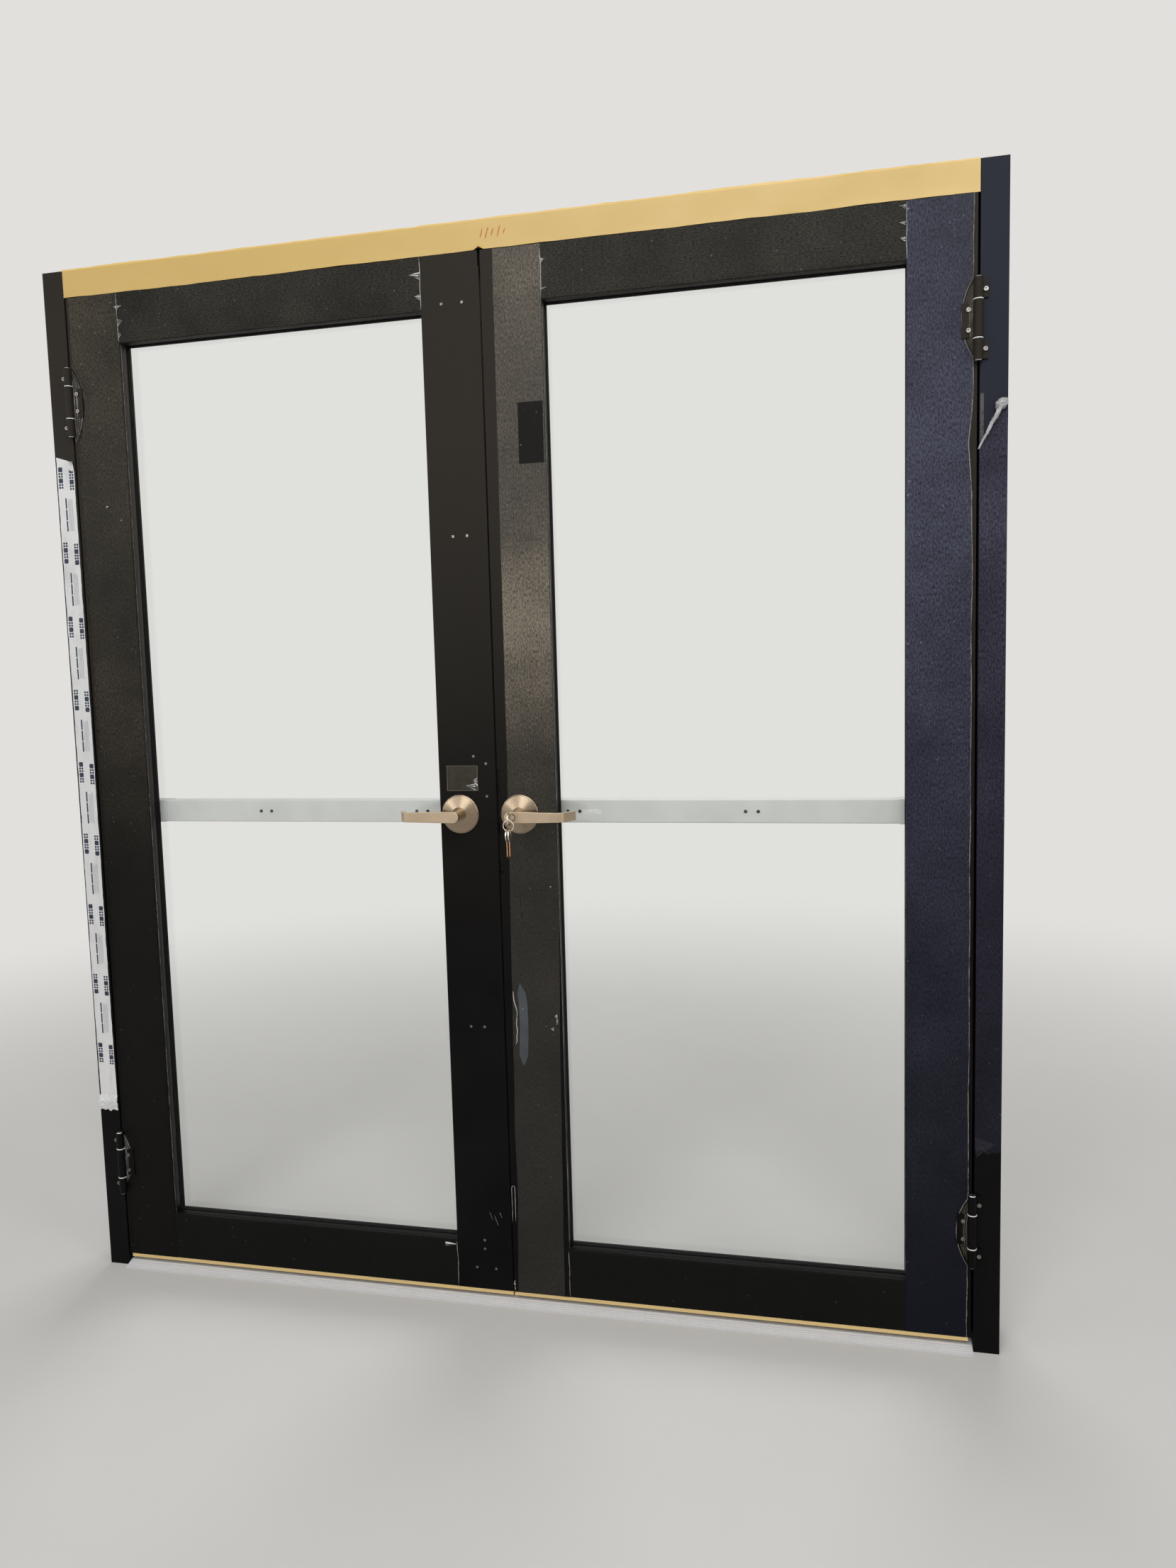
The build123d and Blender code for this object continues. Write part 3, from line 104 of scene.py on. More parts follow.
# The photograph's camera, worked out from the frame's four corners: its lens in pixels of a picture
# of this height, its sensor in mm and its place in metres
PHOTO_HEIGHT = 2212
FOCAL_PIXELS = 1572
SENSOR_LONG_SIDE = 36
CAMERA_PLACE = (0.6779, -2.1848, 1.3059)
CAMERA_FORWARD = (-0.2234, 0.9700, -0.0953)
CAMERA_RIGHT = (0.9747, 0.2219, -0.0263)

# Lines of film edges measured on the near face, each point a height and a place across in mm
STILE_FILM_INNER = ((38, 9.7), (235, 15.5), (371, 14.3), (1106, 22.9), (2126, 27.1))
STILE_FILM_OUTER = ((28, 110), (135, 111), (497, 114.8), (600, 116.4), (703, 118.4), (820, 121.2),
                    (2127, 121.2))
RIGHT_LEAF_EDGE = ((28, 904.5), (1560, 904.5), (1610, 904), (1655, 900.5), (1700, 896.5), (1745, 901.5),
                   (1790, 904), (2127, 905))
LEFT_LEAF_EDGE = ((28, 904), (2127, 904))

# The loose film over each hinge: the height of its middle, half its height, how far it spreads
HINGE_BULGES = {
    ("left", "upper"): (1906 * MM, 76 * MM, 23 * MM),
    ("left", "lower"): (250 * MM, 60 * MM, 18 * MM),
    ("right", "upper"): (1917 * MM, 67 * MM, 21 * MM),
    ("right", "lower"): (240 * MM, 66 * MM, 21 * MM),
}

# How thick the leaf film's haze is and how bright its painted sheen, each point a share of the leaf's
# height and a tone: low tones near the floor are painted shade, high bright tones painted sheen
EVEN_HAZE_AND_SHEEN = ((0.05, 0.03), (0.45, 0.34), (0.76, 1.0), (0.9, 0.75))
LEFT_STILE_HAZE_AND_SHEEN = ((0.05, 0.0), (0.42, 0.06), (0.62, 0.62), (0.72, 0.5), (0.92, 1.0))
LOCK_STILE_HAZE_AND_SHEEN = ((0.05, 0.05), (0.42, 0.08), (0.54, 0.18), (0.66, 1.0), (0.74, 0.5), (0.79, 0.3),
                   (0.88, 0.3), (0.97, 0.45))

# One tile of the jamb tape's marks, and how far apart the tiles of a stack are
TILE = 10 * MM
TILE_STEP = 11.6 * MM


def linear(hex_colour):
    """An sRGB hex colour as linear red, green, blue and an alpha of one."""
    channels = [int(hex_colour[place:place + 2], 16) / 255 for place in (1, 3, 5)]
    bent = [c / 12.92 if c <= 0.04045 else ((c + 0.055) / 1.055) ** 2.4 for c in channels]
    return (*bent, 1.0)


def shade_of(colour, factor, tint=(1.0, 1.0, 1.0)):
    """The same colour, lighter or darker, and tinted."""
    return tuple(min(1.0, channel * factor * part) for channel, part in zip(colour, tint)) + (1.0,)


def grey(value):
    """A plain number as a ramp's colour."""
    return (value, value, value, 1.0)


def colour_property(name, description, hex_colour):
    """A colour that a user may change, shown as sRGB and kept linear."""
    return FloatVectorProperty(name=name, description=description, subtype="COLOR", size=4,
                               min=0.0, max=1.0, default=linear(hex_colour))


def length_property(name, description, millimetres):
    """A length that a user may change."""
    return FloatProperty(name=name, description=description, subtype="DISTANCE", unit="LENGTH",
                         min=0.0, default=millimetres * MM)


class DoorSizes(PropertyGroup):
    """Lengths of the films and the tape"""
    film_lift: length_property("Film lift", "How far the leaf film stands off the metal", 0.25)
    film_step: length_property("Film step", "Distance between the film mesh's rows", 12)
    film_wander: length_property("Film wander", "How far a film's free edge strays from straight", 1.3)
    film_curl: length_property("Film curl", "How far a film's free edge lifts", 1.4)
    white_edge: length_property("White edge", "Width of the stretched, whitened edge of the film", 1.3)
    lite_wrap: length_property("Wrap into the lite", "How far the film turns the corner at the glass", 7)
    joint_line: length_property("Joint line", "Width of the film's cut edge along the stile joints", 1.1)
    header_overhang: length_property("Header overhang", "How far the header film hangs below it", 3)
    header_rise: length_property("Header rise", "How far the header film stands above it", 3)
    tape_width: length_property("Tape width", "Width of the white tape on the left jamb", 41)
    tape_repeat: length_property("Tape repeat", "Length of one repeat of the tape's marks", 158)


class DoorColours(PropertyGroup):
    """Colours of the door's finishes and of the studio"""
    black_coat: colour_property("Black coat", "Powder coat of the frame and leaves", "#0E0D0D")
    film: colour_property("Leaf film", "Film over the black coat, where it lies tight", "#0E0E0D")
    film_haze: colour_property("Film haze", "Haze and trapped air in the leaf film", "#4C4840")
    header_film: colour_property("Header film", "Cream film on the header", "#CFAE63")
    cream_coat: colour_property("Cream strip", "Film on the door bottom channels", "#D9BC80")
    threshold: colour_property("Threshold", "Weathered aluminium of the threshold", "#F2F2F4")
    nickel: colour_property("Satin nickel", "Levers and roses", "#BCA88F")
    bar_coat: colour_property("Bar coat", "Coat of the push bars", "#D0D1CF")
    steel: colour_property("Stainless steel", "Pins, rods and strikes", "#B4B3B0")
    # The lock, edge strike and latch are drawn near black, a painted shade of the meeting gap they sit in.
    painted_gap_shade: colour_property("Dark steel", "Lock, edge strike and latch", "#1C1B1A")
    key_metal: colour_property("Key metal", "Nickel on the keys' bows and the ring", "#DCD5C8")
    key_brass: colour_property("Key brass", "Worn brass of the keys' blades", "#B08A6C")
    rubber: colour_property("Rubber", "Seals and sweeps", "#121212")
    tape: colour_property("Jamb tape", "White tape on the left jamb", "#D6D6D6")
    floor: colour_property("Floor", "Studio floor near the door", "#E0DEDB")
    backdrop: colour_property("Backdrop", "Backdrop that the floor fades into", "#E2E0DD")


def sizes():
    """The lengths as the user has set them."""
    return bpy.context.scene.door_sizes


def colours():
    """The colours as the user has set them."""
    return bpy.context.scene.door_colours


# Node materials


def add_node(owner, kind, settings=None, inputs=None, stops=()):
    """Adds a node with its settings. Its inputs take plain values, sockets or the first output of
    another node, and a ramp takes its stops."""
    node = owner.node_tree.nodes.new(kind)
    for name, value in (settings or {}).items():
        setattr(node, name, value)
    for name, value in (inputs or {}).items():
        if isinstance(value, bpy.types.Node):
            value = value.outputs[0]
        if isinstance(value, bpy.types.NodeSocket):
            owner.node_tree.links.new(value, node.inputs[name])
        else:
            node.inputs[name].default_value = value
    for index, (position, colour) in enumerate(stops):
        elements = node.color_ramp.elements
        stop = elements[index] if index < len(elements) else elements.new(position)
        stop.position = position
        stop.color = colour
    return node


def new_material(name):
    """An empty node material, and the object's own coordinates for its patterns."""
    material = bpy.data.materials.new(name)
    material.use_nodes = True
    material.node_tree.nodes.clear()
    return material, add_node(material, "ShaderNodeTexCoord").outputs["Object"]


def finish_surface(material, inputs):
    """Ends a material in its surface shader: plain values and linked nodes on the shader's sockets."""
    shader = add_node(material, "ShaderNodeBsdfPrincipled", inputs=inputs)
    add_node(material, "ShaderNodeOutputMaterial", inputs={"Surface": shader})
    return material


def radius_about(material, place, centre):
    """The distance from the axis of a turned piece, which runs along Y through its centre."""
    flat = add_node(material, "ShaderNodeMapping", inputs={
        "Vector": place, "Location": (-centre.x, 0.0, -centre.z), "Scale": (1.0, 0.0, 1.0)})
    return add_node(material, "ShaderNodeVectorMath", {"operation": "LENGTH"}, {0: flat}).outputs["Value"]


def black_powder_coat(name, dust, gloss=0.055):
    """Satin polyester powder coat, sprayed and baked on extruded aluminium: a soft sheen, broken by
    a shallow orange peel. The peel is 0.8 mm in life and drawn at 2.5 mm so that it shows. The low
    sheen keeps the pale floor from greying the coat. dust is the colour of a painted sheen that greys
    the coat high up, where light from above would catch it."""
    colour = colours().black_coat
    sheen_start, sheen_full = 0.7, 1.9
    material, place = new_material(name)
    cloud = add_node(material, "ShaderNodeTexNoise", inputs={
        "Vector": place, "Scale": 1 / (160 * MM), "Detail": 3.0})
    peel = add_node(material, "ShaderNodeTexNoise", inputs={
        "Vector": place, "Scale": 1 / (2.5 * MM), "Detail": 2.0})
    height = add_node(material, "ShaderNodeSeparateXYZ", inputs={"Vector": place}).outputs["Z"]
    # Painted sheen: the coat is drawn greyer towards the top, where light from above would catch it.
    painted_sheen_by_height = add_node(material, "ShaderNodeMapRange", {"interpolation_type": "SMOOTHSTEP"}, {
        "Value": height, "From Min": sheen_start, "From Max": sheen_full, "To Max": 0.75})
    base = add_node(material, "ShaderNodeValToRGB", inputs={"Fac": cloud}, stops=(
        (0.35, shade_of(colour, 0.8)), (0.7, shade_of(colour, 1.3))))
    sheened = add_node(material, "ShaderNodeMix", {"data_type": "RGBA"}, {
        0: painted_sheen_by_height, 6: base, 7: linear(dust)})
    roughness = add_node(material, "ShaderNodeMapRange", inputs={
        "Value": cloud, "From Min": 0.3, "From Max": 0.7, "To Min": 0.36, "To Max": 0.46})
    relief = add_node(material, "ShaderNodeBump", inputs={
        "Height": peel, "Distance": 0.03 * MM, "Strength": 0.5})
    return finish_surface(material, {"Base Color": sheened.outputs[2], "Roughness": roughness,
                                     "Specular IOR Level": gloss, "Normal": relief})


def leaf_film(name, stretch, haze, tint, gloss=0.12, sheen_tones=EVEN_HAZE_AND_SHEEN):
    """Clear polyethylene film, rolled on to black coat: a sheen broken by its fine grain, small round
    blisters of trapped air, pale dust and faint streaks along the roll. Its haze and dust are painted
    thin near the floor and thick high up, a painted shade below and a painted sheen above, brightest
    in bands where light would catch the film. The grain is 1 mm in life and drawn at 2.6 mm so that it
    shows. stretch is how much the grain is drawn out along X and Z, gloss the strength of the sheen,
    and the tones give the haze and its painted sheen and shade at shares of the leaf's height."""
    dark = shade_of(colours().film, 1.0, tint)
    pale = shade_of(colours().film_haze, 1.0, tint)
    material, place = new_material(name)
    drawn = add_node(material, "ShaderNodeMapping", inputs={
        "Vector": place, "Scale": (stretch[0], 1.0, stretch[1])})
    thin = add_node(material, "ShaderNodeMapping", inputs={
        "Vector": place, "Scale": (stretch[0] ** 4, 1.0, stretch[1] ** 4)})
    fine = add_node(material, "ShaderNodeTexNoise", inputs={
        "Vector": drawn, "Scale": 1 / (2.6 * MM), "Detail": 5.0, "Roughness": 0.7})
    clouds = add_node(material, "ShaderNodeTexNoise", inputs={
        "Vector": place, "Scale": 1 / (120 * MM), "Detail": 4.0, "Roughness": 0.55})
    lines = add_node(material, "ShaderNodeTexNoise", inputs={
        "Vector": thin, "Scale": 1 / (7 * MM), "Detail": 3.0, "Roughness": 0.6})
    height = add_node(material, "ShaderNodeSeparateXYZ", inputs={"Vector": place}).outputs["Z"]
    share = add_node(material, "ShaderNodeMath", {"operation": "DIVIDE"}, {0: height, 1: LEAF_HIGH})
    # Painted shade and sheen: the haze is drawn dark near the floor and bright in bands high up.
    lift = add_node(material, "ShaderNodeValToRGB", inputs={"Fac": share}, stops=[
        (position, grey(tone)) for position, tone in sheen_tones])
    fog = add_node(material, "ShaderNodeMapRange", inputs={
        "Value": clouds, "From Min": 0.3, "From Max": 0.75, "To Min": 0.35, "To Max": 0.85})
    speck = add_node(material, "ShaderNodeMapRange", inputs={
        "Value": fine, "From Min": 0.38, "From Max": 0.68, "To Min": 0.2, "To Max": 1.9})
    streak = add_node(material, "ShaderNodeMapRange", inputs={
        "Value": lines, "From Min": 0.6, "From Max": 0.8, "To Min": 1.0, "To Max": 1.5})
    veil = fog
    for part in (speck, streak, lift):
        veil = add_node(material, "ShaderNodeMath", {"operation": "MULTIPLY"}, {0: veil, 1: part})
    veil = add_node(material, "ShaderNodeMath", {"operation": "MULTIPLY", "use_clamp": True}, {
        0: veil, 1: haze})
    base = add_node(material, "ShaderNodeMix", {"data_type": "RGBA"}, {0: veil, 6: dark, 7: pale})
    dust = add_node(material, "ShaderNodeTexVoronoi", inputs={"Vector": place, "Scale": 1 / (19 * MM)})
    dots = add_node(material, "ShaderNodeMapRange", inputs={
        "Value": dust, "From Min": 0.045, "From Max": 0.1, "To Min": 1.0, "To Max": 0.0})
    kept = add_node(material, "ShaderNodeMapRange", inputs={
        "Value": dust.outputs["Color"], "From Min": 0.7, "From Max": 0.88, "To Max": 0.55})
    # The pale specks fade near the floor with the same painted shade.
    lit = add_node(material, "ShaderNodeMapRange", inputs={"Value": lift, "To Min": 0.3})
    fleck = dots
    for part in (kept, lit):
        fleck = add_node(material, "ShaderNodeMath", {"operation": "MULTIPLY"}, {0: fleck, 1: part})
    flecked = add_node(material, "ShaderNodeMix", {"data_type": "RGBA"}, {
        0: fleck, 6: base.outputs[2], 7: linear("#8E8B86")})
    roughness = add_node(material, "ShaderNodeMapRange", inputs={
        "Value": clouds, "From Min": 0.3, "From Max": 0.7, "To Min": 0.3, "To Max": 0.42})
    blisters = add_node(material, "ShaderNodeTexVoronoi", inputs={"Vector": place, "Scale": 1 / (17 * MM)})
    domes = add_node(material, "ShaderNodeMapRange", inputs={
        "Value": blisters, "From Min": 0.03, "From Max": 0.16, "To Min": 1.0, "To Max": 0.0})
    relief = add_node(material, "ShaderNodeBump", inputs={
        "Height": fine, "Distance": 0.5 * MM, "Strength": 0.9})
    relief = add_node(material, "ShaderNodeBump", inputs={
        "Height": domes, "Distance": 0.6 * MM, "Strength": 0.6, "Normal": relief})
    return finish_surface(material, {"Base Color": flecked.outputs[2], "Roughness": roughness,
                                     "Specular IOR Level": gloss, "Normal": relief})


def white_film(name, hex_colour, solid):
    """Film that was stretched, cut or torn: milky, broken along its length. solid is how much of it
    stays between the breaks."""
    material, place = new_material(name)
    breaks = add_node(material, "ShaderNodeTexNoise", inputs={
        "Vector": place, "Scale": 1 / (26 * MM), "Detail": 5.0, "Roughness": 0.65})
    wrinkle = add_node(material, "ShaderNodeTexNoise", inputs={
        "Vector": place, "Scale": 1 / (3 * MM), "Detail": 2.0})
    alpha = add_node(material, "ShaderNodeMapRange", inputs={
        "Value": breaks, "From Min": 0.36, "From Max": 0.56, "To Min": 0.2 * solid, "To Max": solid})
    relief = add_node(material, "ShaderNodeBump", inputs={
        "Height": wrinkle, "Distance": 0.6 * MM, "Strength": 0.6})
    return finish_surface(material, {"Base Color": linear(hex_colour), "Roughness": 0.35,
                                     "Coat Weight": 0.2, "Alpha": alpha, "Normal": relief})


def creased_film(name, pale, clear, solid, hollow=0.35):
    """Film that hangs clear of the metal: see-through, with pale creases where it is folded. clear
    and solid are its opacity between and along the creases, hollow how light it is between them."""
    material, place = new_material(name)
    drawn = add_node(material, "ShaderNodeMapping", inputs={"Vector": place, "Scale": (1.0, 1.0, 0.45)})
    ridges = add_node(material, "ShaderNodeTexNoise", {"noise_type": "RIDGED_MULTIFRACTAL"}, {
        "Vector": drawn, "Scale": 1 / (16 * MM), "Detail": 3.0, "Roughness": 0.5})
    crease = add_node(material, "ShaderNodeMapRange", inputs={
        "Value": ridges, "From Min": 0.55, "From Max": 1.0})
    base = add_node(material, "ShaderNodeValToRGB", inputs={"Fac": crease}, stops=(
        (0.0, shade_of(linear(pale), hollow)), (1.0, linear(pale))))
    alpha = add_node(material, "ShaderNodeMapRange", inputs={
        "Value": crease, "To Min": clear, "To Max": solid})
    relief = add_node(material, "ShaderNodeBump", inputs={
        "Height": ridges, "Distance": 1.5 * MM, "Strength": 0.8})
    return finish_surface(material, {"Base Color": base, "Alpha": alpha, "Normal": relief,
                                     "Roughness": 0.2, "Coat Weight": 0.3, "Coat Roughness": 0.1})


def cream_film(name, colour, fade):
    """Cream polyethylene film on a flat extrusion: satin, with shallow ripples and a few scuffs. It is
    painted darker towards the left and paler towards the right, a painted light from the right."""
    material, place = new_material(name)
    across = add_node(material, "ShaderNodeSeparateXYZ", inputs={"Vector": place}).outputs["X"]
    soft = add_node(material, "ShaderNodeTexNoise", inputs={
        "Vector": place, "Scale": 1 / (120 * MM), "Detail": 3.0})
    drawn = add_node(material, "ShaderNodeMapping", inputs={"Vector": place, "Scale": (0.25, 1.0, 1.0)})
    scuffs = add_node(material, "ShaderNodeTexNoise", inputs={
        "Vector": drawn, "Scale": 1 / (4 * MM), "Detail": 4.0, "Roughness": 0.65})
    waves = add_node(material, "ShaderNodeTexNoise", inputs={
        "Vector": drawn, "Scale": 1 / (18 * MM), "Detail": 2.0})
    # Painted light: the film is drawn darker at the left and paler at the right.
    side = add_node(material, "ShaderNodeMapRange", inputs={
        "Value": across, "From Min": -JAMB_INNER, "From Max": JAMB_INNER})
    lit_from_right = add_node(material, "ShaderNodeValToRGB", inputs={"Fac": side}, stops=(
        (0.0, shade_of(colour, 1.0 - fade)), (1.0, shade_of(colour, 1.0 + fade))))
    worn = add_node(material, "ShaderNodeMapRange", inputs={
        "Value": soft, "From Min": 0.35, "From Max": 0.75, "To Max": 0.35})
    base = add_node(material, "ShaderNodeMix", {"data_type": "RGBA"}, {
        0: worn, 6: lit_from_right, 7: shade_of(colour, 0.88)})
    rubbed = add_node(material, "ShaderNodeMapRange", inputs={
        "Value": scuffs, "From Min": 0.68, "From Max": 0.8, "To Max": 0.4})
    scuffed = add_node(material, "ShaderNodeMix", {"data_type": "RGBA"}, {
        0: rubbed, 6: base.outputs[2], 7: linear("#E9DAB4")})
    roughness = add_node(material, "ShaderNodeMapRange", inputs={
        "Value": soft, "From Min": 0.3, "From Max": 0.7, "To Min": 0.4, "To Max": 0.52})
    relief = add_node(material, "ShaderNodeBump", inputs={
        "Height": waves, "Distance": 0.5 * MM, "Strength": 0.4})
    relief = add_node(material, "ShaderNodeBump", inputs={
        "Height": scuffs, "Distance": 0.05 * MM, "Strength": 0.3, "Normal": relief})
    return finish_surface(material, {"Base Color": scuffed.outputs[2], "Roughness": roughness,
                                     "Coat Weight": 0.15, "Coat Roughness": 0.3, "Normal": relief})


def weathered_aluminium():
    """Mill-finish extruded aluminium under its grey oxide: half metal, half chalk to the eye, with
    die lines along its length, trodden scuffs, and painted shade in the grooves of its ramps."""
    colour = colours().threshold
    material, place = new_material("weathered_extruded_aluminium")
    along = add_node(material, "ShaderNodeMapping", inputs={"Vector": place, "Scale": (0.02, 1.0, 1.0)})
    trodden = add_node(material, "ShaderNodeMapping", inputs={"Vector": place, "Scale": (0.5, 1.0, 1.0)})
    lines = add_node(material, "ShaderNodeTexNoise", inputs={
        "Vector": along, "Scale": 1 / (1.6 * MM), "Detail": 3.0})
    wear = add_node(material, "ShaderNodeTexNoise", inputs={
        "Vector": trodden, "Scale": 1 / (30 * MM), "Detail": 5.0, "Roughness": 0.65})
    worn = add_node(material, "ShaderNodeValToRGB", inputs={"Fac": wear}, stops=(
        (0.4, colour), (0.75, shade_of(colour, 0.86))))
    across = add_node(material, "ShaderNodeSeparateXYZ", inputs={"Vector": place}).outputs["Y"]
    reach = add_node(material, "ShaderNodeMath", {"operation": "ABSOLUTE"}, {0: across})
    inwards = add_node(material, "ShaderNodeMath", {"operation": "SUBTRACT"}, {0: RIB_START, 1: reach})
    ribs = add_node(material, "ShaderNodeMath", {"operation": "PINGPONG"}, {0: inwards, 1: RIB_PITCH / 2})
    groove_shade = add_node(material, "ShaderNodeMapRange", inputs={
        "Value": ribs, "From Min": 0.24 * RIB_PITCH, "From Max": 0.32 * RIB_PITCH})
    ramp = add_node(material, "ShaderNodeMath", {"operation": "GREATER_THAN"}, {
        0: reach, 1: RIB_START - RIB_COUNT * RIB_PITCH})
    # Painted shade: the grooves of the ramps are drawn darker.
    soil = add_node(material, "ShaderNodeMath", {"operation": "MULTIPLY"}, {0: groove_shade, 1: ramp})
    base = add_node(material, "ShaderNodeMix", {"data_type": "RGBA"}, {
        0: soil, 6: worn, 7: shade_of(colour, 0.68)})
    roughness = add_node(material, "ShaderNodeMapRange", inputs={
        "Value": wear, "From Min": 0.3, "From Max": 0.75, "To Min": 0.32, "To Max": 0.52})
    relief = add_node(material, "ShaderNodeBump", inputs={
        "Height": lines, "Distance": 0.08 * MM, "Strength": 0.5})
    return finish_surface(material, {"Base Color": base.outputs[2], "Roughness": roughness,
                                     "Metallic": 0.2, "Normal": relief})


def satin_nickel_turned(name, centre):
    """Satin nickel on a turned rose: the polishing marks run in rings, so the highlight is a fan."""
    # The roses are drawn at about half the levers' nickel, a painted shade that dims their reflection.
    colour = shade_of(colours().nickel, 0.55)
    material, place = new_material(name)
    radius = radius_about(material, place, centre)
    rings = add_node(material, "ShaderNodeTexNoise", {"noise_dimensions": "1D"}, {
        "W": radius, "Scale": 1 / (0.7 * MM), "Detail": 3.0})
    cloud = add_node(material, "ShaderNodeTexNoise", inputs={
        "Vector": place, "Scale": 1 / (60 * MM), "Detail": 1.0})
    worn = add_node(material, "ShaderNodeMath", {"operation": "MULTIPLY_ADD"}, {0: rings, 1: 0.7, 2: cloud})
    base = add_node(material, "ShaderNodeValToRGB", inputs={"Fac": worn}, stops=(
        (0.6, shade_of(colour, 0.86)), (1.0, shade_of(colour, 1.1))))
    roughness = add_node(material, "ShaderNodeMapRange", inputs={
        "Value": rings, "From Min": 0.3, "From Max": 0.7, "To Min": 0.2, "To Max": 0.3})
    relief = add_node(material, "ShaderNodeBump", inputs={
        "Height": rings, "Distance": 0.02 * MM, "Strength": 0.5})
    tangent = add_node(material, "ShaderNodeTangent", {"direction_type": "RADIAL", "axis": "Y"})
    return finish_surface(material, {"Base Color": base, "Roughness": roughness, "Metallic": 1.0,
                                     "Anisotropic": 0.75, "Anisotropic Rotation": 0.25,
                                     "Tangent": tangent, "Normal": relief})


def brushed_metal(name, light, dark, run, size, rough, soil):
    """Metal brushed along a direction. light and dark are its colours where clean and handled, run is
    how the marks are drawn out, size their spacing in mm, rough its least and most roughness, soil
    the size of the handling marks in mm."""
    material, place = new_material(name)
    drawn = add_node(material, "ShaderNodeMapping", inputs={"Vector": place, "Scale": run})
    brush = add_node(material, "ShaderNodeTexNoise", inputs={
        "Vector": drawn, "Scale": 1 / (size * MM), "Detail": 3.0})
    smear = add_node(material, "ShaderNodeTexNoise", inputs={
        "Vector": place, "Scale": 1 / (soil * MM), "Detail": 4.0})
    base = add_node(material, "ShaderNodeValToRGB", inputs={"Fac": smear}, stops=((0.35, light), (0.7, dark)))
    roughness = add_node(material, "ShaderNodeMapRange", inputs={
        "Value": brush, "From Min": 0.3, "From Max": 0.7, "To Min": rough[0], "To Max": rough[1]})
    relief = add_node(material, "ShaderNodeBump", inputs={
        "Height": brush, "Distance": 0.03 * MM, "Strength": 0.45})
    return finish_surface(material, {"Base Color": base, "Roughness": roughness, "Metallic": 1.0,
                                     "Normal": relief})


def screw_steel():
    """Plated steel screws: dull grey heads, and near black on the push bars, a painted shade of the
    recesses that those screws sit in. The bars lie further back than the other screws, so depth tells
    the two apart."""
    material, place = new_material("plated_steel_screws_painted_dark_in_bar_recesses")
    depth = add_node(material, "ShaderNodeSeparateXYZ", inputs={"Vector": place}).outputs["Y"]
    # Painted shade: the push bars' screws sit in recesses and are drawn near black.
    behind = add_node(material, "ShaderNodeMapRange", inputs={
        "Value": depth, "From Min": BAR_SCREWS_START - 1 * MM, "From Max": BAR_SCREWS_START + 1 * MM})
    stain = add_node(material, "ShaderNodeTexNoise", inputs={
        "Vector": place, "Scale": 1 / (3 * MM), "Detail": 3.0})
    dull = add_node(material, "ShaderNodeValToRGB", inputs={"Fac": stain}, stops=(
        (0.35, linear("#8F8C86")), (0.7, linear("#625F5A"))))
    base = add_node(material, "ShaderNodeMix", {"data_type": "RGBA"}, {
        0: behind, 6: dull, 7: linear("#1B1A19")})
    roughness = add_node(material, "ShaderNodeMapRange", inputs={
        "Value": stain, "From Min": 0.3, "From Max": 0.7, "To Min": 0.2, "To Max": 0.36})
    return finish_surface(material, {"Base Color": base.outputs[2], "Roughness": roughness,
                                     "Metallic": 1.0})


def key_plug_metal():
    """Nickel-plated plug of the lock: bright across its face, with the dark joint round its rim."""
    rim_start, rim_end = 5.5 * MM, 5.9 * MM
    material, place = new_material("nickel_plated_key_plug")
    radius = radius_about(material, place, KEY_PLUG)
    rim = add_node(material, "ShaderNodeMapRange", inputs={
        "Value": radius, "From Min": rim_start, "From Max": rim_end})
    turned = add_node(material, "ShaderNodeTexNoise", {"noise_dimensions": "1D"}, {
        "W": radius, "Scale": 1 / (0.5 * MM), "Detail": 2.0})
    base = add_node(material, "ShaderNodeValToRGB", inputs={"Fac": rim}, stops=(
        (0.0, linear("#D9CFBE")), (1.0, linear("#1D1A17"))))
    roughness = add_node(material, "ShaderNodeMapRange", inputs={
        "Value": turned, "From Min": 0.3, "From Max": 0.7, "To Min": 0.2, "To Max": 0.34})
    return finish_surface(material, {"Base Color": base, "Roughness": roughness, "Metallic": 1.0})


def spare_key_metal():
    """Stamped keys: pale nickel on the bows, worn to brass down the blades, with stamping marks."""
    bow_foot = SPARE_KEY_TOP - 24 * MM
    material, place = new_material("nickelled_brass_stamped")
    height = add_node(material, "ShaderNodeSeparateXYZ", inputs={"Vector": place}).outputs["Z"]
    blade = add_node(material, "ShaderNodeMapRange", inputs={
        "Value": height, "From Min": bow_foot - 2 * MM, "From Max": bow_foot + 2 * MM})
    thin = add_node(material, "ShaderNodeTexNoise", inputs={
        "Vector": place, "Scale": 1 / (4 * MM), "Detail": 4.0})
    metal = add_node(material, "ShaderNodeValToRGB", inputs={"Fac": blade}, stops=(
        (0.0, colours().key_brass), (1.0, colours().key_metal)))
    patch = add_node(material, "ShaderNodeMapRange", inputs={
        "Value": thin, "From Min": 0.45, "From Max": 0.7, "To Max": 0.45})
    base = add_node(material, "ShaderNodeMix", {"data_type": "RGBA"}, {
        0: patch, 6: metal, 7: linear("#C9A279")})
    stamped = add_node(material, "ShaderNodeTexNoise", inputs={"Vector": place, "Scale": 1 / (1 * MM)})
    relief = add_node(material, "ShaderNodeBump", inputs={
        "Height": stamped, "Distance": 0.04 * MM, "Strength": 0.4})
    roughness = add_node(material, "ShaderNodeMapRange", inputs={
        "Value": thin, "From Min": 0.3, "From Max": 0.7, "To Min": 0.22, "To Max": 0.38})
    return finish_surface(material, {"Base Color": base.outputs[2], "Roughness": roughness,
                                     "Metallic": 1.0, "Normal": relief})


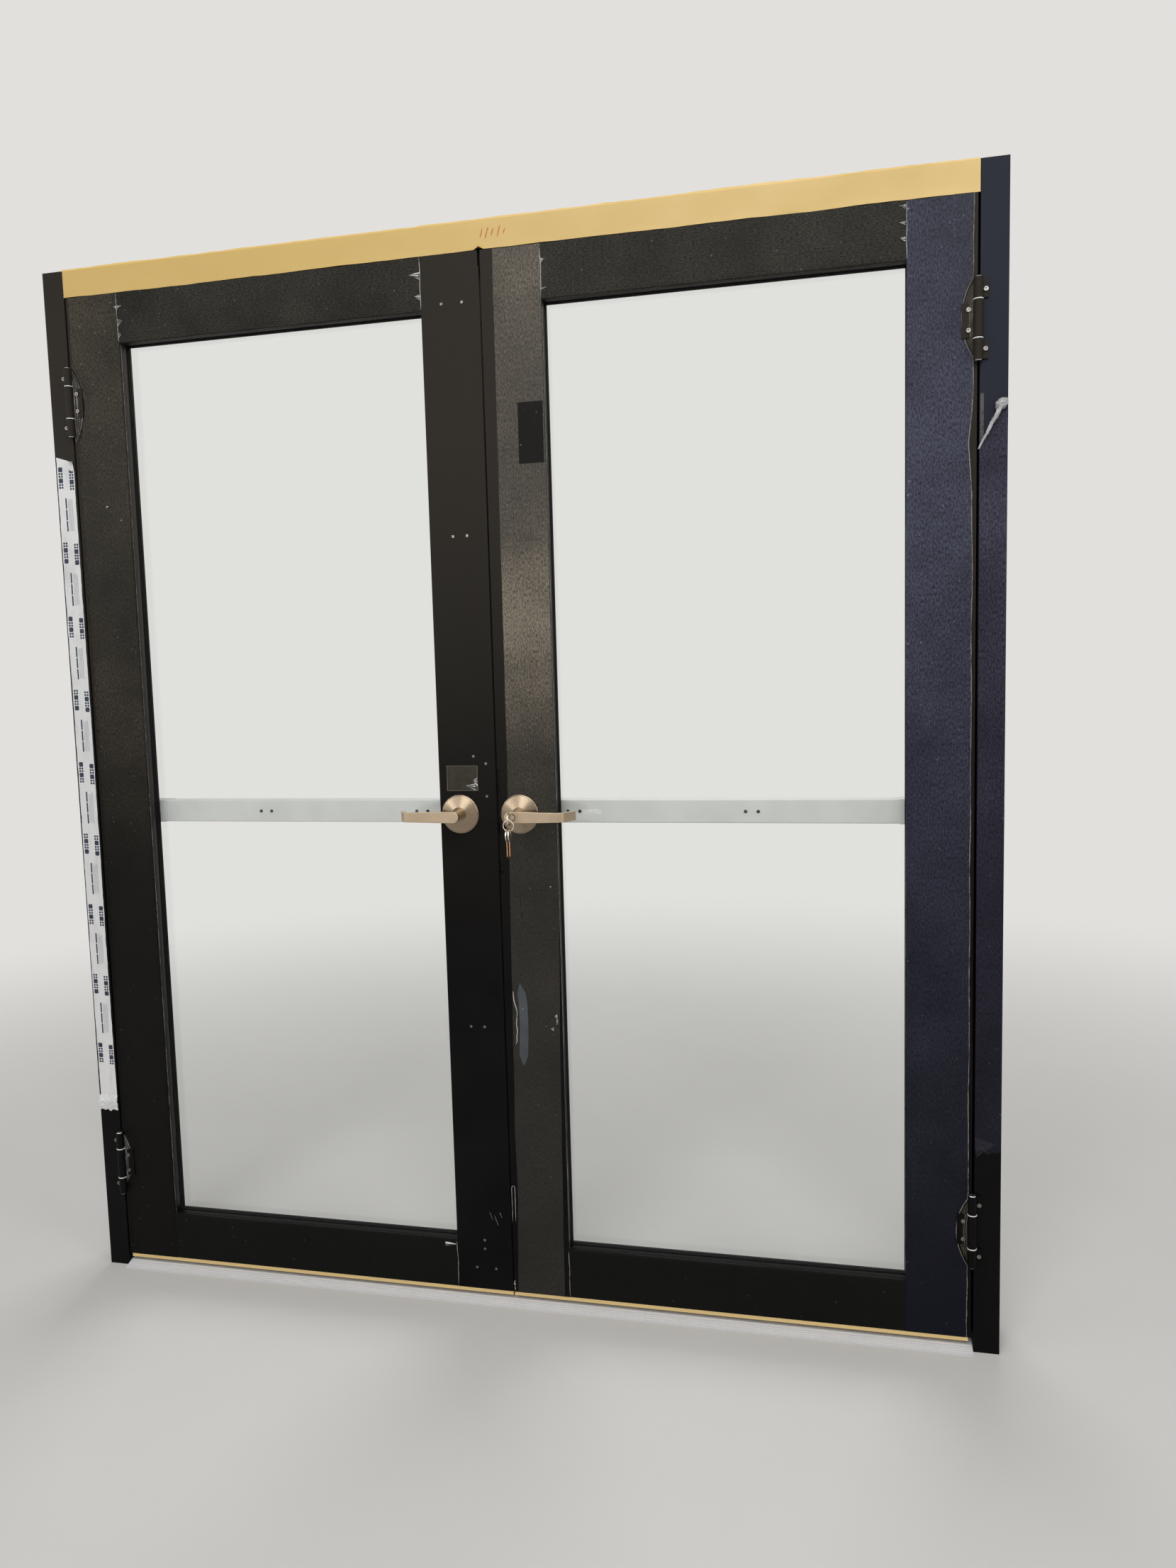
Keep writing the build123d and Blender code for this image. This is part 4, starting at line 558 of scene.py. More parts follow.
def painted_bar():
    """Pale grey paint over extruded aluminium: even, satin, with the faint lines of the die below it."""
    colour = colours().bar_coat
    material, place = new_material("pale_grey_painted_aluminium")
    along = add_node(material, "ShaderNodeMapping", inputs={"Vector": place, "Scale": (0.015, 1.0, 1.0)})
    cloud = add_node(material, "ShaderNodeTexNoise", inputs={
        "Vector": place, "Scale": 1 / (80 * MM), "Detail": 4.0})
    lines = add_node(material, "ShaderNodeTexNoise", inputs={
        "Vector": along, "Scale": 1 / (1.2 * MM), "Detail": 2.0})
    base = add_node(material, "ShaderNodeValToRGB", inputs={"Fac": cloud}, stops=(
        (0.35, shade_of(colour, 0.93)), (0.7, shade_of(colour, 1.03))))
    roughness = add_node(material, "ShaderNodeMapRange", inputs={
        "Value": cloud, "From Min": 0.3, "From Max": 0.7, "To Min": 0.34, "To Max": 0.44})
    relief = add_node(material, "ShaderNodeBump", inputs={
        "Height": lines, "Distance": 0.04 * MM, "Strength": 0.4})
    return finish_surface(material, {"Base Color": base, "Roughness": roughness, "Coat Weight": 0.2,
                                     "Coat Roughness": 0.25, "Normal": relief})


def epdm_rubber():
    """Extruded EPDM rubber: matt black with a fine bloom."""
    colour = colours().rubber
    material, place = new_material("extruded_epdm_rubber")
    bloom = add_node(material, "ShaderNodeTexNoise", inputs={
        "Vector": place, "Scale": 1 / (12 * MM), "Detail": 4.0})
    skin = add_node(material, "ShaderNodeTexNoise", inputs={"Vector": place, "Scale": 1 / (1.2 * MM)})
    base = add_node(material, "ShaderNodeValToRGB", inputs={"Fac": bloom}, stops=(
        (0.4, colour), (0.75, shade_of(colour, 2.2))))
    roughness = add_node(material, "ShaderNodeMapRange", inputs={
        "Value": bloom, "From Min": 0.3, "From Max": 0.7, "To Min": 0.62, "To Max": 0.8})
    relief = add_node(material, "ShaderNodeBump", inputs={
        "Height": skin, "Distance": 0.05 * MM, "Strength": 0.4})
    return finish_surface(material, {"Base Color": base, "Roughness": roughness,
                                     "Specular IOR Level": 0.25, "Normal": relief})


def moulded_nylon():
    """Moulded white nylon of the hinge washers: slightly cloudy and waxy."""
    material, place = new_material("moulded_white_nylon")
    cloud = add_node(material, "ShaderNodeTexNoise", inputs={
        "Vector": place, "Scale": 1 / (4 * MM), "Detail": 3.0})
    base = add_node(material, "ShaderNodeValToRGB", inputs={"Fac": cloud}, stops=(
        (0.35, linear("#F1F0EC")), (0.7, linear("#DAD9D3"))))
    roughness = add_node(material, "ShaderNodeMapRange", inputs={
        "Value": cloud, "From Min": 0.3, "From Max": 0.7, "To Min": 0.4, "To Max": 0.55})
    return finish_surface(material, {"Base Color": base, "Roughness": roughness,
                                     "Subsurface Weight": 0.1, "Subsurface Radius": (0.002, 0.002, 0.002)})


def float_glass():
    """Clear float glass: colourless across its thickness, with faint smears that only show in a
    reflection. Light reaches what is behind it, so the glass is open to shadow rays. Its reflection
    is kept faint, because the photograph's panes show almost none."""
    material, place = new_material("clear_float_glass")
    drawn = add_node(material, "ShaderNodeMapping", inputs={"Vector": place, "Scale": (1.0, 1.0, 0.35)})
    smear = add_node(material, "ShaderNodeTexNoise", inputs={
        "Vector": drawn, "Scale": 1 / (140 * MM), "Detail": 5.0, "Roughness": 0.6})
    roughness = add_node(material, "ShaderNodeMapRange", inputs={
        "Value": smear, "From Min": 0.45, "From Max": 0.75, "To Max": 0.02})
    rays = add_node(material, "ShaderNodeLightPath")
    alpha = add_node(material, "ShaderNodeMapRange", inputs={
        "Value": rays.outputs["Is Shadow Ray"], "To Min": 1.0, "To Max": 0.06})
    return finish_surface(material, {
        "Base Color": linear("#FDFFFE"), "Roughness": roughness, "Transmission Weight": 1.0,
        "IOR": 1.5, "Specular IOR Level": 0.12, "Alpha": alpha})


def dry_stroke(name, hex_colour, solid=1.0):
    """A hand-drawn or scratched stroke: dry and uneven, so what is under it shows through in grains."""
    material, place = new_material(name)
    worn = add_node(material, "ShaderNodeTexNoise", inputs={
        "Vector": place, "Scale": 1 / (2.2 * MM), "Detail": 4.0, "Roughness": 0.6})
    alpha = add_node(material, "ShaderNodeMapRange", inputs={
        "Value": worn, "From Min": 0.35, "From Max": 0.6, "To Min": 0.3 * solid, "To Max": solid})
    return finish_surface(material, {"Base Color": linear(hex_colour), "Roughness": 0.7, "Alpha": alpha})


def white_tape():
    """White printed polyethylene tape: satin, with soft ripples and grey handling marks."""
    colour = colours().tape
    material, place = new_material("white_polyethylene_tape")
    drawn = add_node(material, "ShaderNodeMapping", inputs={"Vector": place, "Scale": (1.0, 1.0, 0.4)})
    dirt = add_node(material, "ShaderNodeTexNoise", inputs={
        "Vector": drawn, "Scale": 1 / (22 * MM), "Detail": 5.0, "Roughness": 0.6})
    ripple = add_node(material, "ShaderNodeTexNoise", inputs={
        "Vector": place, "Scale": 1 / (20 * MM), "Detail": 3.0})
    base = add_node(material, "ShaderNodeValToRGB", inputs={"Fac": dirt}, stops=(
        (0.5, colour), (0.75, shade_of(colour, 0.84))))
    roughness = add_node(material, "ShaderNodeMapRange", inputs={
        "Value": dirt, "From Min": 0.3, "From Max": 0.7, "To Min": 0.35, "To Max": 0.5})
    relief = add_node(material, "ShaderNodeBump", inputs={
        "Height": ripple, "Distance": 0.8 * MM, "Strength": 0.5})
    return finish_surface(material, {"Base Color": base, "Roughness": roughness, "Coat Weight": 0.15,
                                     "Coat Roughness": 0.25, "Normal": relief})


def patchy(name, first, second, size, rough, coat=0.0):
    """A thin flat finish such as printing ink, a vinyl label or aged tape: two close shades in soft
    patches of the given size in mm, and a roughness that follows them."""
    material, place = new_material(name)
    patch = add_node(material, "ShaderNodeTexNoise", inputs={
        "Vector": place, "Scale": 1 / (size * MM), "Detail": 4.0, "Roughness": 0.6})
    base = add_node(material, "ShaderNodeValToRGB", inputs={"Fac": patch}, stops=(
        (0.35, linear(first)), (0.7, linear(second))))
    roughness = add_node(material, "ShaderNodeMapRange", inputs={
        "Value": patch, "From Min": 0.3, "From Max": 0.7, "To Min": rough[0], "To Max": rough[1]})
    return finish_surface(material, {"Base Color": base, "Roughness": roughness, "Coat Weight": coat,
                                     "Coat Roughness": 0.2, "Specular IOR Level": 0.25})


def seen_rays(owner):
    """One for what the camera, a reflection or the glass sees, and nothing for the light itself."""
    rays = add_node(owner, "ShaderNodeLightPath")
    total = add_node(owner, "ShaderNodeMath", {"operation": "ADD"}, {
        0: rays.outputs["Is Camera Ray"], 1: rays.outputs["Is Glossy Ray"]})
    return add_node(owner, "ShaderNodeMath", {"operation": "ADD", "use_clamp": True}, {
        0: total, 1: rays.outputs["Is Transmission Ray"]})


def studio_paper():
    """Matt pale studio paper: it takes the door's shadow near the door and fades into the pale
    backdrop further out, also as metal and glass see it."""
    colour = colours().floor
    material, place = new_material("matt_studio_paper")
    tooth = add_node(material, "ShaderNodeTexNoise", inputs={
        "Vector": place, "Scale": 1 / (300 * MM), "Detail": 4.0})
    base = add_node(material, "ShaderNodeValToRGB", inputs={"Fac": tooth}, stops=(
        (0.3, shade_of(colour, 0.98)), (0.7, colour)))
    paper = add_node(material, "ShaderNodeBsdfPrincipled", inputs={
        "Base Color": base, "Roughness": 0.9, "Specular IOR Level": 0.15})
    glow = add_node(material, "ShaderNodeEmission", inputs={
        "Color": colours().backdrop, "Strength": seen_rays(material)})
    distance = add_node(material, "ShaderNodeVectorMath", {"operation": "LENGTH"}, {
        0: place}).outputs["Value"]
    fade = add_node(material, "ShaderNodeMapRange", {"interpolation_type": "SMOOTHSTEP"}, {
        "Value": distance, "From Min": FADE_START, "From Max": FADE_END})
    mix = add_node(material, "ShaderNodeMixShader", inputs={"Fac": fade, 1: paper, 2: glow})
    add_node(material, "ShaderNodeOutputMaterial", inputs={"Surface": mix})
    return material


def finish_nodes(material, *nodes):
    """Gives the material to CAD nodes."""
    for node in nodes:
        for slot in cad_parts[node].material_slots:
            slot.material = material


# Mesh helpers


def add_object(name, data):
    """A new object in the scene, at the origin."""
    made = bpy.data.objects.new(name, data)
    bpy.context.scene.collection.objects.link(made)
    return made


def mesh_object(mesh, name, *materials):
    """Turns a bmesh into an object with its materials."""
    data = bpy.data.meshes.new(name)
    mesh.to_mesh(data)
    mesh.free()
    for material in materials:
        data.materials.append(material)
    return add_object(name, data)


def build_piece(mesh, name, body, *materials, smooth=True, slot=None):
    """Turns a bmesh into a piece that rides on a body of the frame."""
    for face in mesh.faces:
        face.smooth = smooth
    piece = mesh_object(mesh, name, *materials)
    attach(piece, body)


def wander(seed, place, wave):
    """A smooth random value between about -1 and 1 that changes with a place along a piece. wave is
    the length of a swing."""
    return noise.noise(Vector((place / wave, seed * 7.31, seed * 1.7))) * 1.8


def measured_line(points):
    """The line through measured points, each a height and a place across, in mm."""
    def line(height):
        for (low, first), (high, second) in zip(points, points[1:]):
            if height <= high * MM:
                break
        share = min(1.0, max(0.0, (height / MM - low) / (high - low)))
        return (first + (second - first) * share) * MM

    return line


def face_out(faces, direction=Vector((0, -1, 0))):
    """Turns an open sheet so that most of it looks in one direction."""
    if sum(face.normal.dot(direction) * face.calc_area() for face in faces) < 0:
        for face in faces:
            face.normal_flip()


def grid_sheet(columns, rows, place, mesh=None):
    """A grid whose points are laid by place(column, row share). Returns the mesh and each new face's
    column and row."""
    mesh = bmesh.new() if mesh is None else mesh
    made = bmesh.ops.create_grid(mesh, x_segments=columns, y_segments=rows, size=0.5)["verts"]
    cells = {}
    for vert in made:
        for face in vert.link_faces:
            centre = face.calc_center_median()
            cells[face] = (min(columns - 1, int((centre.x + 0.5) * columns)),
                           min(rows - 1, int((centre.y + 0.5) * rows)))
    for vert in made:
        vert.co = place(round((vert.co.x + 0.5) * columns), vert.co.y + 0.5)
    mesh.normal_update()
    face_out(cells)
    return mesh, cells


def lay_film(name, body, columns, ends, materials, seed, white=(), upright=True):
    """Lays a film over a member. Each column is its place across the member, its lift off the face
    (negative inside the lite) and how much its line strays; ends are where the film's rows start
    and stop. Faces in the white columns get the second material. upright is false for a level
    member."""
    low, high = ends
    rows = max(2, round((high - low) / sizes().film_step))

    def place(column, share):
        across, lift, stray = columns[column]
        along = low + (high - low) * share
        if callable(across):
            across = across(along)
        across += wander(seed + column * 0.01, along, 110 * MM) * stray
        across += wander(seed + 3.3, along, 21 * MM) * stray * 0.35
        ripple = wander(seed + column, along, 60 * MM) * 0.06 * MM if lift > 0 else 0.0
        out = NEAR - lift - ripple
        if stray and lift > sizes().film_lift:
            out -= abs(wander(seed + 5.1, along, 70 * MM)) * lift
        return Vector((across, out, along)) if upright else Vector((along, out, across))

    mesh, cells = grid_sheet(len(columns) - 1, rows, place)
    for face, (column, _) in cells.items():
        face.material_index = 1 if column in white else 0
    build_piece(mesh, name, body, *materials)


def across_member(start, stop):
    """Even columns of flat film between two places, both left out."""
    lift, step = sizes().film_lift, 14 * MM
    count = max(1, round(abs(stop - start) / step))
    return [(start + (stop - start) * index / count, lift, 0.0) for index in range(1, count)]


def free_edge(edge, inward):
    """Columns at a free edge: curled and whitened, then flat. inward is the side the film lies on."""
    size = sizes()

    def shifted(distance):
        return lambda along: edge(along) + inward * distance

    return [(shifted(0), size.film_curl, size.film_wander),
            (shifted(size.white_edge), size.film_curl * 0.35, size.film_wander),
            (shifted(3 * size.white_edge), size.film_lift, size.film_wander * 0.5)]


def lite_edge(corner, outward):
    """Columns at the glass: to the corner, round it and into the lite. outward points to the lite."""
    lift, wrap = sizes().film_lift, sizes().lite_wrap
    return [(corner - outward * 1.0 * MM, lift, 0.0),
            (corner + outward * lift, lift * 0.4, 0.0),
            (corner + outward * lift, -wrap * 0.75, 0.0),
            (corner + outward * lift, -wrap, 0.3 * MM)]


def ribbon(mesh, path, width, lift, stray=0.0, seed=1.0, rise=0.0, tip=0.25):
    """A narrow strip along a path on the near face. The path, X and Z, is in mm, and so are width,
    lift, stray and rise. rise stands its middle up as a ridge, and tip is how much of its width is
    left at its ends."""
    step, slack = 4 * MM, 1e-7
    points = [Vector((x, 0.0, z)) * MM for x, z in path]
    marks = [0.0]
    for first, second in zip(points, points[1:]):
        marks.append(marks[-1] + (second - first).length)
    sides = []
    for index in range(len(points)):
        ahead = points[min(index + 1, len(points) - 1)] - points[max(index - 1, 0)]
        sides.append(ahead.cross(Vector((0, 1, 0))).normalized())
    total = marks[-1]

    def place(column, share):
        gone = share * total
        index = max(number for number in range(len(points) - 1) if marks[number] <= gone + slack)
        part = (gone - marks[index]) / (marks[index + 1] - marks[index])
        side = sides[index].lerp(sides[index + 1], part)
        taper = min(1.0, tip + 8 * min(share, 1 - share))
        shift = (column / 2 - 0.5) * width * taper + wander(seed, gone, 30 * MM) * stray
        point = points[index].lerp(points[index + 1], part) + side * shift * MM
        point.y = NEAR - lift * MM - (rise * taper * MM if column == 1 else 0.0)
        return point

    grid_sheet(2, max(3, round(total / step)), place, mesh)


def rounded_card(mesh, centre, width, length, corner, segments, ink=0):
    """A flat rectangle with rounded corners that faces the viewer, in one of the piece's inks."""
    made = bmesh.ops.create_grid(mesh, x_segments=1, y_segments=1, size=0.5)["verts"]
    turn = Matrix.Rotation(math.radians(90), 4, "X")
    size = Matrix.Diagonal((width, length, 1, 1))
    bmesh.ops.transform(mesh, matrix=Matrix.Translation(centre) @ turn @ size, verts=made)
    made[0].link_faces[0].material_index = ink
    bmesh.ops.bevel(mesh, geom=made, offset=corner, offset_type="OFFSET", segments=segments,
                    profile=0.5, affect="VERTICES", material=-1)


# Operators


class DOOR_OT_stage(Operator):
    """Makes the studio: a pale floor that fades into a pale backdrop, soft lamps and the camera"""
    bl_idname = "door.stage"
    bl_label = "Studio"

    def execute(self, context):
        self.floor()
        self.lamps()
        self.sky(context)
        self.camera(context)
        context.scene.view_settings.view_transform = "Standard"
        return {"FINISHED"}

    def floor(self):
        """A wide round floor, a circle grown outwards ring by ring."""
        mesh = bmesh.new()
        bmesh.ops.create_circle(mesh, cap_ends=True, segments=64, radius=FLOOR_RADII[0])
        for radius in FLOOR_RADII[1:]:
            outer = [edge for edge in mesh.edges if edge.is_boundary]
            grown = bmesh.ops.extrude_edge_only(mesh, edges=outer)["geom"]
            ring = [part for part in grown if isinstance(part, bmesh.types.BMVert)]
            for vert in ring:
                vert.co = vert.co.normalized() * radius
        mesh.normal_update()
        face_out(mesh.faces, Vector((0, 0, 1)))
        return mesh_object(mesh, "studio_floor", studio_paper())

    def lamps(self):
        """A broad soft lamp high in front, a long strip whose sheen falls across the upper stiles,
        a window-like lamp at the right, a weak one at the left, and a soft lamp behind for the push
        bars. The panes don't mirror them, so they stay as clear as in the photograph."""
        # Each lamp's place, the point that it looks at, its width and height in metres, and its power
        plan = {
            "front_softbox": ((0.6, -4.4, 4.6), (0, 0, 1.1), (4.5, 3.0), 185),
            "high_strip": ((-3.2, -6.2, 2.75), (-0.4, 0, 1.5), (6.5, 0.7), 90),
            "right_window": ((4.4, -2.4, 2.6), (0.3, 0, 1.2), (2.2, 2.8), 45),
            "left_fill": ((-4.6, -2.6, 2.2), (0, 0, 1.0), (2.4, 2.4), 22),
            "back_softbox": ((0.0, 4.4, 4.4), (0, 0, 0.8), (4.0, 3.0), 110),
        }
        past_glass = bpy.data.collections.new("lit_past_the_glass")
        for side, _ in SIDES:
            past_glass.objects.link(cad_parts[f"{side}_glass"])
        for member in past_glass.collection_objects:
            member.light_linking.link_state = "EXCLUDE"
        for name, (place, target, size, power) in plan.items():
            lamp = bpy.data.lights.new(name, "AREA")
            lamp.shape = "RECTANGLE"
            lamp.size, lamp.size_y = size
            lamp.energy = power
            holder = add_object(name, lamp)
            holder.location = place
            holder.rotation_euler = (Vector(target) - Vector(place)).to_track_quat("-Z", "Y").to_euler()
            holder.visible_camera = False
            holder.visible_transmission = False
            holder.light_linking.receiver_collection = past_glass

    def sky(self, context):
        """The world is the pale backdrop to the eye and a weaker even light on the object."""
        world = bpy.data.worlds.new("studio_world")
        world.use_nodes = True
        world.node_tree.nodes.clear()
        strength = add_node(world, "ShaderNodeMapRange", inputs={
            "Value": seen_rays(world), "To Min": 0.2, "To Max": 1.0})
        glow = add_node(world, "ShaderNodeBackground", inputs={
            "Color": colours().backdrop, "Strength": strength})
        add_node(world, "ShaderNodeOutputWorld", inputs={"Surface": glow})
        context.scene.world = world

    def camera(self, context):
        """The photograph's viewpoint: its long side is upright, so the lens follows from the height."""
        data = bpy.data.cameras.new("photo_camera")
        data.sensor_width = SENSOR_LONG_SIDE
        data.lens = SENSOR_LONG_SIDE * FOCAL_PIXELS / PHOTO_HEIGHT
        holder = add_object("photo_camera", data)
        back = -Vector(CAMERA_FORWARD).normalized()
        right = Vector(CAMERA_RIGHT).normalized()
        up = back.cross(right)
        turn = Matrix((right, up, back)).transposed()
        holder.matrix_world = Matrix.Translation(CAMERA_PLACE) @ turn.to_4x4()
        context.scene.camera = holder


class DOOR_OT_frame_finish(Operator):
    """Finishes the frame, the leaves' members, the stops, the threshold and the hinges"""
    bl_idname = "door.frame_finish"
    bl_label = "Frame finish"

    def execute(self, context):
        # The coats grey high up in a painted sheen; the right jamb's is bluish, a painted cool light from the
        # right.
        warm_sheen, cool_sheen = "#34302A", "#2E313D"
        coat = black_powder_coat("satin_black_powder_coated_aluminium", warm_sheen)
        finish_nodes(coat, "left_jamb", "header", "left_stop", "right_stop", "header_stop",
                     "hinge_frame_flaps", "left_hinge_door_flaps", "right_hinge_door_flaps")
        finish_nodes(black_powder_coat("satin_black_powder_coat_in_cool_light", cool_sheen), "right_jamb")
        for side, _ in SIDES:
            finish_nodes(coat, f"{side}_hinge_stile", f"{side}_lock_stile", f"{side}_top_rail",
                         f"{side}_bottom_rail", f"{side}_glazing_beads")
        bare = black_powder_coat("smooth_black_coat_of_glazing_shoulders", warm_sheen, 0.3)
        for side, _ in SIDES:
            self.shoulder(f"{side}_hinge_stile", bare)
        finish_nodes(weathered_aluminium(), "threshold")
        finish_nodes(moulded_nylon(), "hinge_washers")
        finish_nodes(epdm_rubber(), "stop_seals", "left_sweep", "right_sweep", "left_glazing_gaskets",
                     "right_glazing_gaskets")
        return {"FINISHED"}

    def shoulder(self, name, material):
        """The crowned shoulder between the near lip and the glass has no film and a smoother coat."""
        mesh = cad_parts[name].data
        mesh.materials.append(material)
        slack = 3 * MM
        for face in mesh.polygons:
            depth = face.center.y - NEAR
            inside = (LITE_INNER - slack < abs(face.center.x) < LITE_OUTER + slack
                      and LITE_LOW - slack < face.center.z < LITE_HIGH + slack)
            if inside and SHOULDER_START < depth < SHOULDER_END:
                face.material_index = len(mesh.materials) - 1


class DOOR_OT_leaf_finish(Operator):
    """Finishes the glass and the cream bottom channels"""
    bl_idname = "door.leaf_finish"
    bl_label = "Leaf finish"

    def execute(self, context):
        finish_nodes(float_glass(), "left_glass", "right_glass")
        finish_nodes(cream_film("cream_film_on_door_bottom", colours().cream_coat, 0.04),
                     "left_bottom_channel", "right_bottom_channel")
        return {"FINISHED"}


class DOOR_OT_hardware_finish(Operator):
    """Finishes the levers, roses, push bars, rods, lock, screws and keys"""
    bl_idname = "door.hardware_finish"
    bl_label = "Hardware finish"

    def execute(self, context):
        colour = colours()
        for side, centre in (("left", LEFT_ROSE), ("right", RIGHT_ROSE)):
            finish_nodes(satin_nickel_turned(f"satin_nickel_turned_{side}", centre), f"{side}_rose")
        along = (0.04, 1.0, 1.0)
        lever = brushed_metal("satin_nickel_brushed", colour.nickel, shade_of(colour.nickel, 0.86),
                              along, 0.8, (0.28, 0.42), 35)
        finish_nodes(lever, "left_lever", "right_lever")
        coat = painted_bar()
        for side, _ in SIDES:
            finish_nodes(coat, f"{side}_bar_housing", f"{side}_push_pad", f"{side}_bar_end_cap",
                         f"{side}_head_case")
        finish_nodes(coat, "rod_guides", "top_latch_case", "bottom_latch_case")
        steel = brushed_metal("brushed_stainless_steel", colour.steel, shade_of(colour.steel, 0.8),
                              along, 0.9, (0.24, 0.4), 14)
        finish_nodes(steel, "rod_strikes", "hinge_pins", "upper_rod", "lower_rod")
        # Painted shade: the lock, edge strike and latch are drawn as dark as the meeting gap they sit in.
        dark = brushed_metal("lock_steel_painted_in_gap_shade", colour.painted_gap_shade,
                             shade_of(colour.painted_gap_shade, 1.6), (1.0, 1.0, 0.05), 0.9, (0.34, 0.5), 12)
        finish_nodes(dark, "edge_strike", "mortise_lock", "latch_bolt")
        finish_nodes(screw_steel(), "hinge_frame_screws", "left_leaf_screws", "right_leaf_screws")
        nickel = brushed_metal("nickel_plated_steel_wire", colour.key_metal,
                               shade_of(colour.key_metal, 0.85), (1.0, 1.0, 1.0), 1.2, (0.16, 0.28), 6)
        finish_nodes(nickel, "key_ring", "door_key")
        finish_nodes(key_plug_metal(), "key_plug")
        finish_nodes(spare_key_metal(), "spare_keys")
        return {"FINISHED"}


class DOOR_OT_header_film(Operator):
    """Lays the cream film over the header, ragged above and hanging a little below"""
    bl_idname = "door.header_film"
    bl_label = "Header film"

    def execute(self, context):
        size = sizes()
        half = JAMB_INNER - 0.8 * MM
        notch_half, notch_rise = 7 * MM, 6 * MM
        lift, curl = 0.35 * MM, 0.8 * MM
        low, high = HEAD_LOW - size.header_overhang, HEAD_HIGH + size.header_rise
        levels = [low, HEAD_LOW + 1 * MM, HEAD_LOW + 12 * MM, (low + high) / 2,
                  HEAD_HIGH - 10 * MM, HEAD_HIGH - 1 * MM, high]
        count, rows = len(levels) - 1, 190

        def place(column, share):
            along = half * (share * 2 - 1)
            level = levels[column]
            out = NEAR - lift
            if column == 0:
                level += wander(2.0, along, 160 * MM) * 1.2 * MM + wander(2.5, along, 30 * MM) * 0.4 * MM
                level += max(0.0, 1 - abs(along) / notch_half) * notch_rise
                out -= (0.6 + wander(4.0, along, 90 * MM)) * curl
            if column == count:
                level += wander(6.0, along, 120 * MM) * 1.1 * MM + wander(6.6, along, 18 * MM) * 0.7 * MM
                out += (1.2 + wander(8.0, along, 50 * MM)) * curl
            out -= wander(9.0 + column, along, 80 * MM) * 0.12 * MM
            return Vector((along, out, level))

        mesh, cells = grid_sheet(count, rows, place)
        for face, (column, _) in cells.items():
            face.material_index = 1 if column == count - 1 else 0
        film = cream_film("cream_polyethylene_film", colours().header_film, 0.05)
        top = cream_film("cream_film_torn_edge", shade_of(colours().header_film, 1.25), 0.02)
        build_piece(mesh, "header_film", "frame", film, top, slot="cream_coat")
        return {"FINISHED"}


